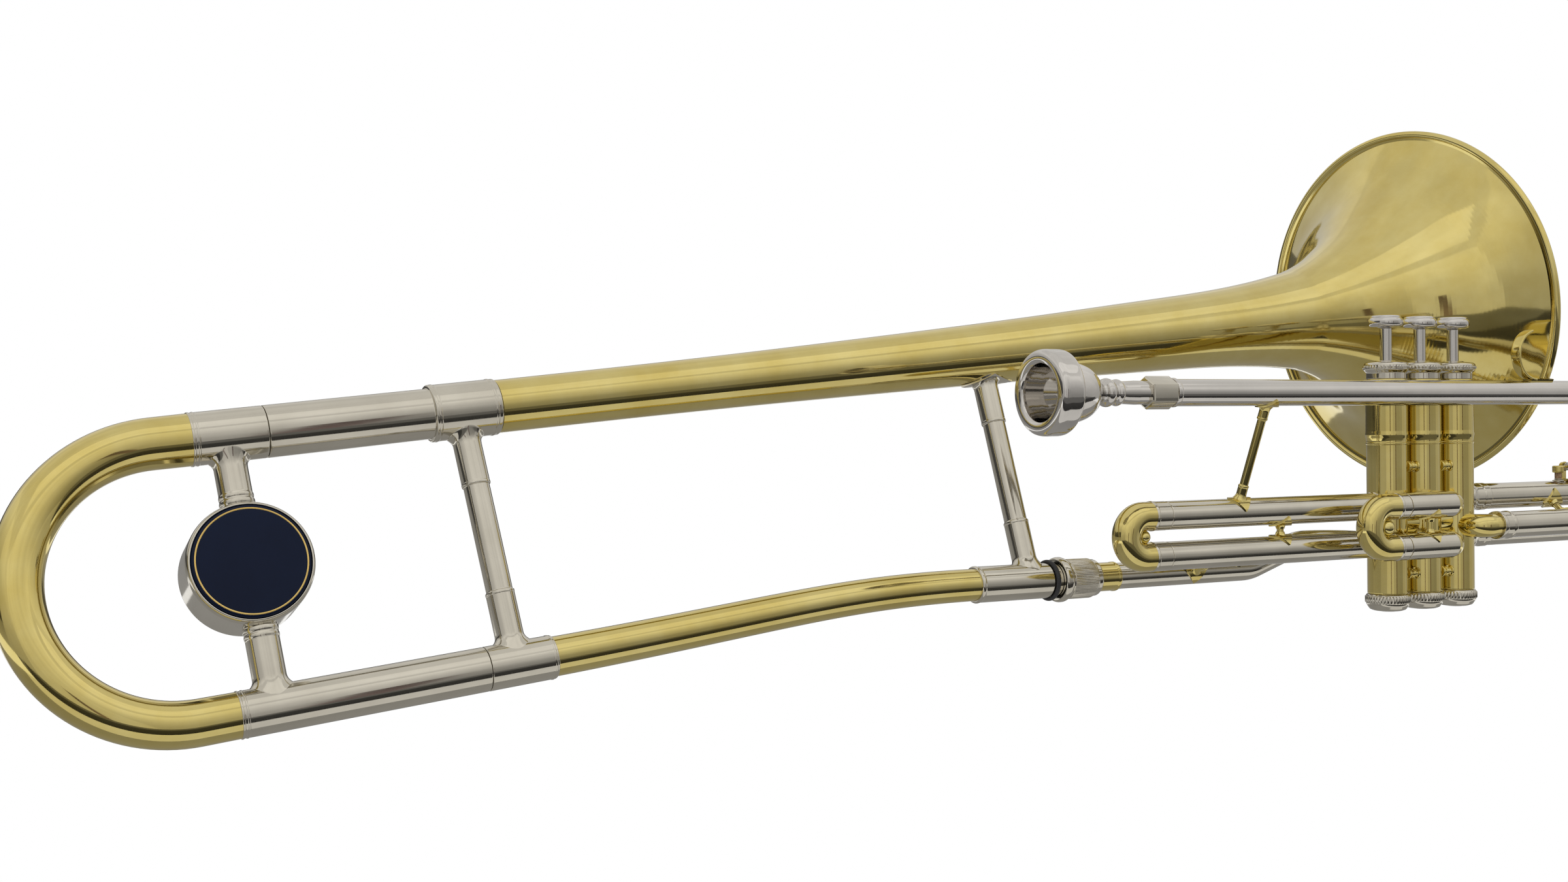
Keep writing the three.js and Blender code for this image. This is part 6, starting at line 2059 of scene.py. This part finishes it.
@dataclass(frozen=True)
class Card:
    """A soft grey card that only the metal reflects, in metres.

    Its shades say how bright it looks in the metal at its lower and at its upper edge, and a tint below 1
    turns it warmer.
    """

    name: str
    low: tuple[float, float, float]
    high: tuple[float, float, float]
    shades: tuple[float, float]
    tint: float = 1.0

    def build(self) -> None:
        """Stands the card in its place."""
        low, high = Vector(self.low), Vector(self.high)
        shape = bmesh.new()
        block = Matrix.Translation((low + high) / 2 / MM) @ Matrix.Diagonal((*((high - low) / MM), 1))
        bmesh.ops.create_cube(shape, size=1, matrix=block)
        made = finished(self.name, shape)
        made.visible_camera = False
        made.visible_diffuse = False
        made.visible_shadow = False
        made.visible_transmission = False
        paint = bpy.data.materials.new(self.name)
        paint.use_nodes = True
        sheet = NodeSheet(paint.node_tree)
        place = sheet.add("TexCoord")
        axes = sheet.add("SeparateXYZ")
        rise = sheet.add(
            "MapRange",
            {
                "From Min": low.z,
                "From Max": max(high.z, low.z + 0.01),
                "To Min": self.shades[0],
                "To Max": self.shades[1],
            },
            interpolation_type="SMOOTHSTEP",
        )
        cloud = sheet.add("TexNoise", {"Scale": 1.4, "Detail": 2.0})
        depth = sheet.add("MapRange", {"From Min": 0.3, "From Max": 0.7, "To Min": 0.93, "To Max": 1.06})
        product = sheet.add("Math", operation="MULTIPLY")
        glow = sheet.add("Emission", {"Color": (1, 0.98 * self.tint, 0.95 * self.tint, 1)})
        sheet.join(place, "Object", axes, "Vector")
        sheet.join(axes, "Z", rise, "Value")
        sheet.join(place, "Object", cloud, "Vector")
        sheet.join(cloud, "Fac", depth, "Value")
        sheet.join(rise, "Result", product, 0)
        sheet.join(depth, "Result", product, 1)
        sheet.join(product, "Value", glow, "Strength")
        sheet.join(glow, "Emission", paint.node_tree.nodes["Material Output"], "Surface")
        made.data.materials.append(paint)


CARDS = (
    Card("near_left", (LEFT, NEAR - THICK, FLOOR), (-0.6, NEAR, TOP), (0.56, 0.86)),
    Card("near_middle", (-0.6, NEAR - THICK, FLOOR), (0.2, NEAR, TOP), (0.42, 0.86)),
    Card("near_right", (0.2, NEAR - THICK, FLOOR), (RIGHT, NEAR, TOP), (0.28, 0.86)),
    Card("left_wall", (LEFT - THICK, NEAR, FLOOR), (LEFT, -0.3, TOP), (0.4, 0.8)),
    Card("left_low", (LEFT - THICK, -0.3, FLOOR), (LEFT, FAR, -0.06), (0.34, 0.26)),
    Card("left_dark", (LEFT - THICK, -0.3, -0.06), (LEFT, FAR, 0.7), (0.05, 0.1)),
    Card("left_high", (LEFT - THICK, -0.3, 0.7), (LEFT, FAR, TOP), (0.5, 0.8)),
    Card("right_wall", (RIGHT, NEAR, FLOOR), (RIGHT + THICK, FAR, TOP), (0.42, 0.8)),
    Card("far_low", (LEFT, FAR, FLOOR), (RIGHT, FAR + THICK, -0.06), (0.34, 0.26)),
    Card("far_dark", (LEFT, FAR, -0.06), (RIGHT, FAR + THICK, 0.55), (0.08, 0.12)),
    Card("far_high", (LEFT, FAR, 0.55), (RIGHT, FAR + THICK, TOP), (0.5, 0.8)),
    Card("ceiling", (LEFT, NEAR, TOP), (RIGHT, FAR, TOP + THICK), (0.7, 0.7)),
    Card("top_light", (-1.7, -1.4, 1.7), (1.4, -0.4, 1.72), (0.92, 0.92)),
    Card("room_floor", (LEFT, NEAR, FLOOR + 0.01), (RIGHT, -0.63, FLOOR + THICK), (0.14, 0.14)),
    Card("table_edge", (-1.9, -0.62, FLOOR), (1.6, -0.6, -0.31), (0.03, 0.05)),
    Card("table_front", (-1.9, -0.6, FLOOR + 0.01), (1.6, -0.14, FLOOR + THICK), (0.68, 0.68)),
    Card("table_back", (-1.9, -0.14, FLOOR + 0.01), (1.6, 1.8, FLOOR + THICK), (0.3, 0.3)),
    Card("left_strip", (-1.36, -2.52, FLOOR), (-1.18, -2.5, 0.34), (0.2, 0.1), 0.75),
    Card("right_strip", (0.1, -2.52, FLOOR), (0.3, -2.5, 0.34), (0.16, 0.1), 0.75),
)


@dataclass(frozen=True)
class Lamp:
    """A soft rectangular lamp: its place and size in metres, its power in watts."""

    name: str
    place: Vector
    size: tuple[float, float]
    power: float

    def build(self, target: Vector) -> None:
        """Hangs the lamp, turned to a target."""
        data = bpy.data.lights.new(self.name, "AREA")
        data.shape = "RECTANGLE"
        data.size, data.size_y = self.size
        data.energy = self.power
        lamp = bpy.data.objects.new(self.name, data)
        turn = (self.place - target).to_track_quat("Z", "Y").to_matrix().to_4x4()
        lamp.matrix_world = Matrix.Translation(self.place) @ turn
        lamp.visible_camera = False
        lamp.visible_glossy = False
        bpy.context.scene.collection.objects.link(lamp)


LAMPS = (
    Lamp("key_lamp", Vector((-1.4, -1.2, 1.9)), (1.6, 1.2), 34),
    Lamp("fill_lamp", Vector((1.6, -1.3, 0.9)), (1.4, 1.4), 14),
    Lamp("rim_lamp", Vector((0.2, 1.9, 1.4)), (2.0, 0.8), 18),
)


@dataclass
class Studio:
    """The camera, the floor, the lamps and the cards."""

    lens: float = 39.0
    photo_size: tuple[float, float] = (2400, 1350)
    photo_centre: tuple[float, float] = (1202.2, 671.6)
    eye: Vector = field(default_factory=lambda: Vector((-0.7192, -0.6460, -0.0143)))
    right: Vector = field(default_factory=lambda: Vector((0.8863, -0.4629, -0.0108)))
    down: Vector = field(default_factory=lambda: Vector((-0.0128, -0.0011, -0.9999)))
    forward: Vector = field(default_factory=lambda: Vector((0.4629, 0.8864, -0.0069)))
    middle: Vector = field(default_factory=lambda: Vector((-0.15, 0.03, 0.0)))
    floor_reach: float = 12000

    def make_camera(self) -> None:
        """Places the camera at the photograph's viewing angle."""
        data = bpy.data.cameras.new("camera")
        data.sensor_width = 36
        data.lens = self.lens
        data.clip_start = 0.01
        data.clip_end = 50
        wide, high = self.photo_size
        data.shift_x = (wide / 2 - self.photo_centre[0]) / wide
        data.shift_y = (self.photo_centre[1] - high / 2) / wide
        camera = bpy.data.objects.new("camera", data)
        columns = Matrix((self.right, -self.down, -self.forward)).transposed().to_4x4()
        camera.matrix_world = Matrix.Translation(self.eye) @ columns
        bpy.context.scene.collection.objects.link(camera)
        bpy.context.scene.camera = camera

    def make_world(self) -> None:
        """Lights the world plainly and keeps it white where it is seen directly."""
        world = bpy.data.worlds.new("plain_white")
        world.use_nodes = True
        bpy.context.scene.world = world
        nodes = world.node_tree.nodes
        sheet = NodeSheet(world.node_tree)
        light = sheet.fill(nodes["Background"], {"Color": (0.93, 0.95, 1.0, 1), "Strength": 0.45})
        seen = sheet.add("Background", {"Color": (1, 1, 1, 1), "Strength": 1.0})
        direct = sheet.any_ray(("Is Camera Ray", "Is Glossy Ray", "Is Transmission Ray"))
        mix = sheet.add("MixShader")
        sheet.join(direct, "Value", mix, "Fac")
        sheet.join(light, "Background", mix, 1)
        sheet.join(seen, "Background", mix, 2)
        sheet.join(mix, "Shader", nodes["World Output"], "Surface")

    def make_floor(self) -> None:
        """Lays a wide pale floor well below the instrument."""
        shape = bmesh.new()
        bmesh.ops.create_grid(shape, x_segments=2, y_segments=2, size=self.floor_reach)
        bmesh.ops.translate(shape, vec=(0, 0, FLOOR / MM), verts=shape.verts)
        floor = finished("floor", shape)
        paper = bpy.data.materials.new("pale_floor")
        paper.use_nodes = True
        nodes = paper.node_tree.nodes
        sheet = NodeSheet(paper.node_tree)
        paint = {"Base Color": (0.86, 0.86, 0.86, 1), "Roughness": 0.95}
        shader = sheet.fill(nodes["Principled BSDF"], paint)
        white = sheet.add("Emission")
        direct = sheet.any_ray(("Is Camera Ray", "Is Glossy Ray"))
        mix = sheet.add("MixShader")
        sheet.join(direct, "Value", mix, "Fac")
        sheet.join(shader, "BSDF", mix, 1)
        sheet.join(white, "Emission", mix, 2)
        sheet.join(mix, "Shader", nodes["Material Output"], "Surface")
        floor.data.materials.append(paper)

    def build(self) -> None:
        """Sets up the whole studio."""
        self.make_camera()
        self.make_world()
        self.make_floor()
        for lamp in LAMPS:
            lamp.build(self.middle)
        for card in CARDS:
            card.build()
        bpy.context.scene.view_settings.view_transform = "Standard"


def valve_slides() -> list[ValveSlide]:
    """Returns the three slides with their sizes."""
    first = ValveSlide(
        number=1,
        body="first_slide",
        heading=-X_AXIS,
        casing=Vector((-VALVE_PITCH, 0, 0)),
        levels=FIRST_LEVELS,
        outer_end=-174.5,
        ferrule_end=-184.2,
        bow_centre=-188.1,
        inner_end=-70.0,
    )
    second = ValveSlide(
        number=2,
        body="second_slide",
        heading=-X_AXIS,
        casing=Vector((0, 0, 0)),
        levels=SECOND_LEVELS,
        outer_end=-38.8,
        ferrule_end=-45.8,
        bow_centre=-51.9,
        inner_end=-10.0,
        side=SECOND_SIDE,
        leg=SECOND_LEG,
        bore=5.95,
        inner=5.65,
        inner_bore=4.95,
        ferrule=6.9,
        elbow=7.4,
        leg_slot=Slot.BRASS,
    )
    third = ValveSlide(
        number=3,
        body="third_slide",
        heading=X_AXIS,
        casing=Vector((VALVE_PITCH, 0, 0)),
        levels=THIRD_LEVELS,
        outer_end=175.0,
        ferrule_end=184.7,
        bow_centre=188.6,
        inner_end=70.0,
        ring_along=42.0,
        drain_along=DRAIN_ALONG,
    )
    return [first, second, third]


def dress_kept_solids(nodes: dict[str, bpy.types.Object]) -> None:
    """Gives the solids that stay visible their finishes.

    Args:
        nodes: The frame's solids by name.
    """
    for number in (1, 2, 3):
        name = f"piston_{number}"
        solid = nodes[name]
        solid.data.materials.clear()
        solid.data.materials.append(NICKEL_SILVER.build())
        LOG.info("%s keeps its solid", name)


def main() -> None:
    """Builds the trombone and its studio."""
    logging.basicConfig(level=logging.INFO, format="%(name)s: %(message)s")
    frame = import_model()
    Studio().build()
    dress_kept_solids(frame["nodes"])
    parts = [BellSection(), TuningSlide(), ValveSection(), *valve_slides()]
    parts += [AirPipes(), Struts(), FingerHook(), WaterKey()]
    for part in parts:
        part.build()


if __name__ == "__main__":
    main()
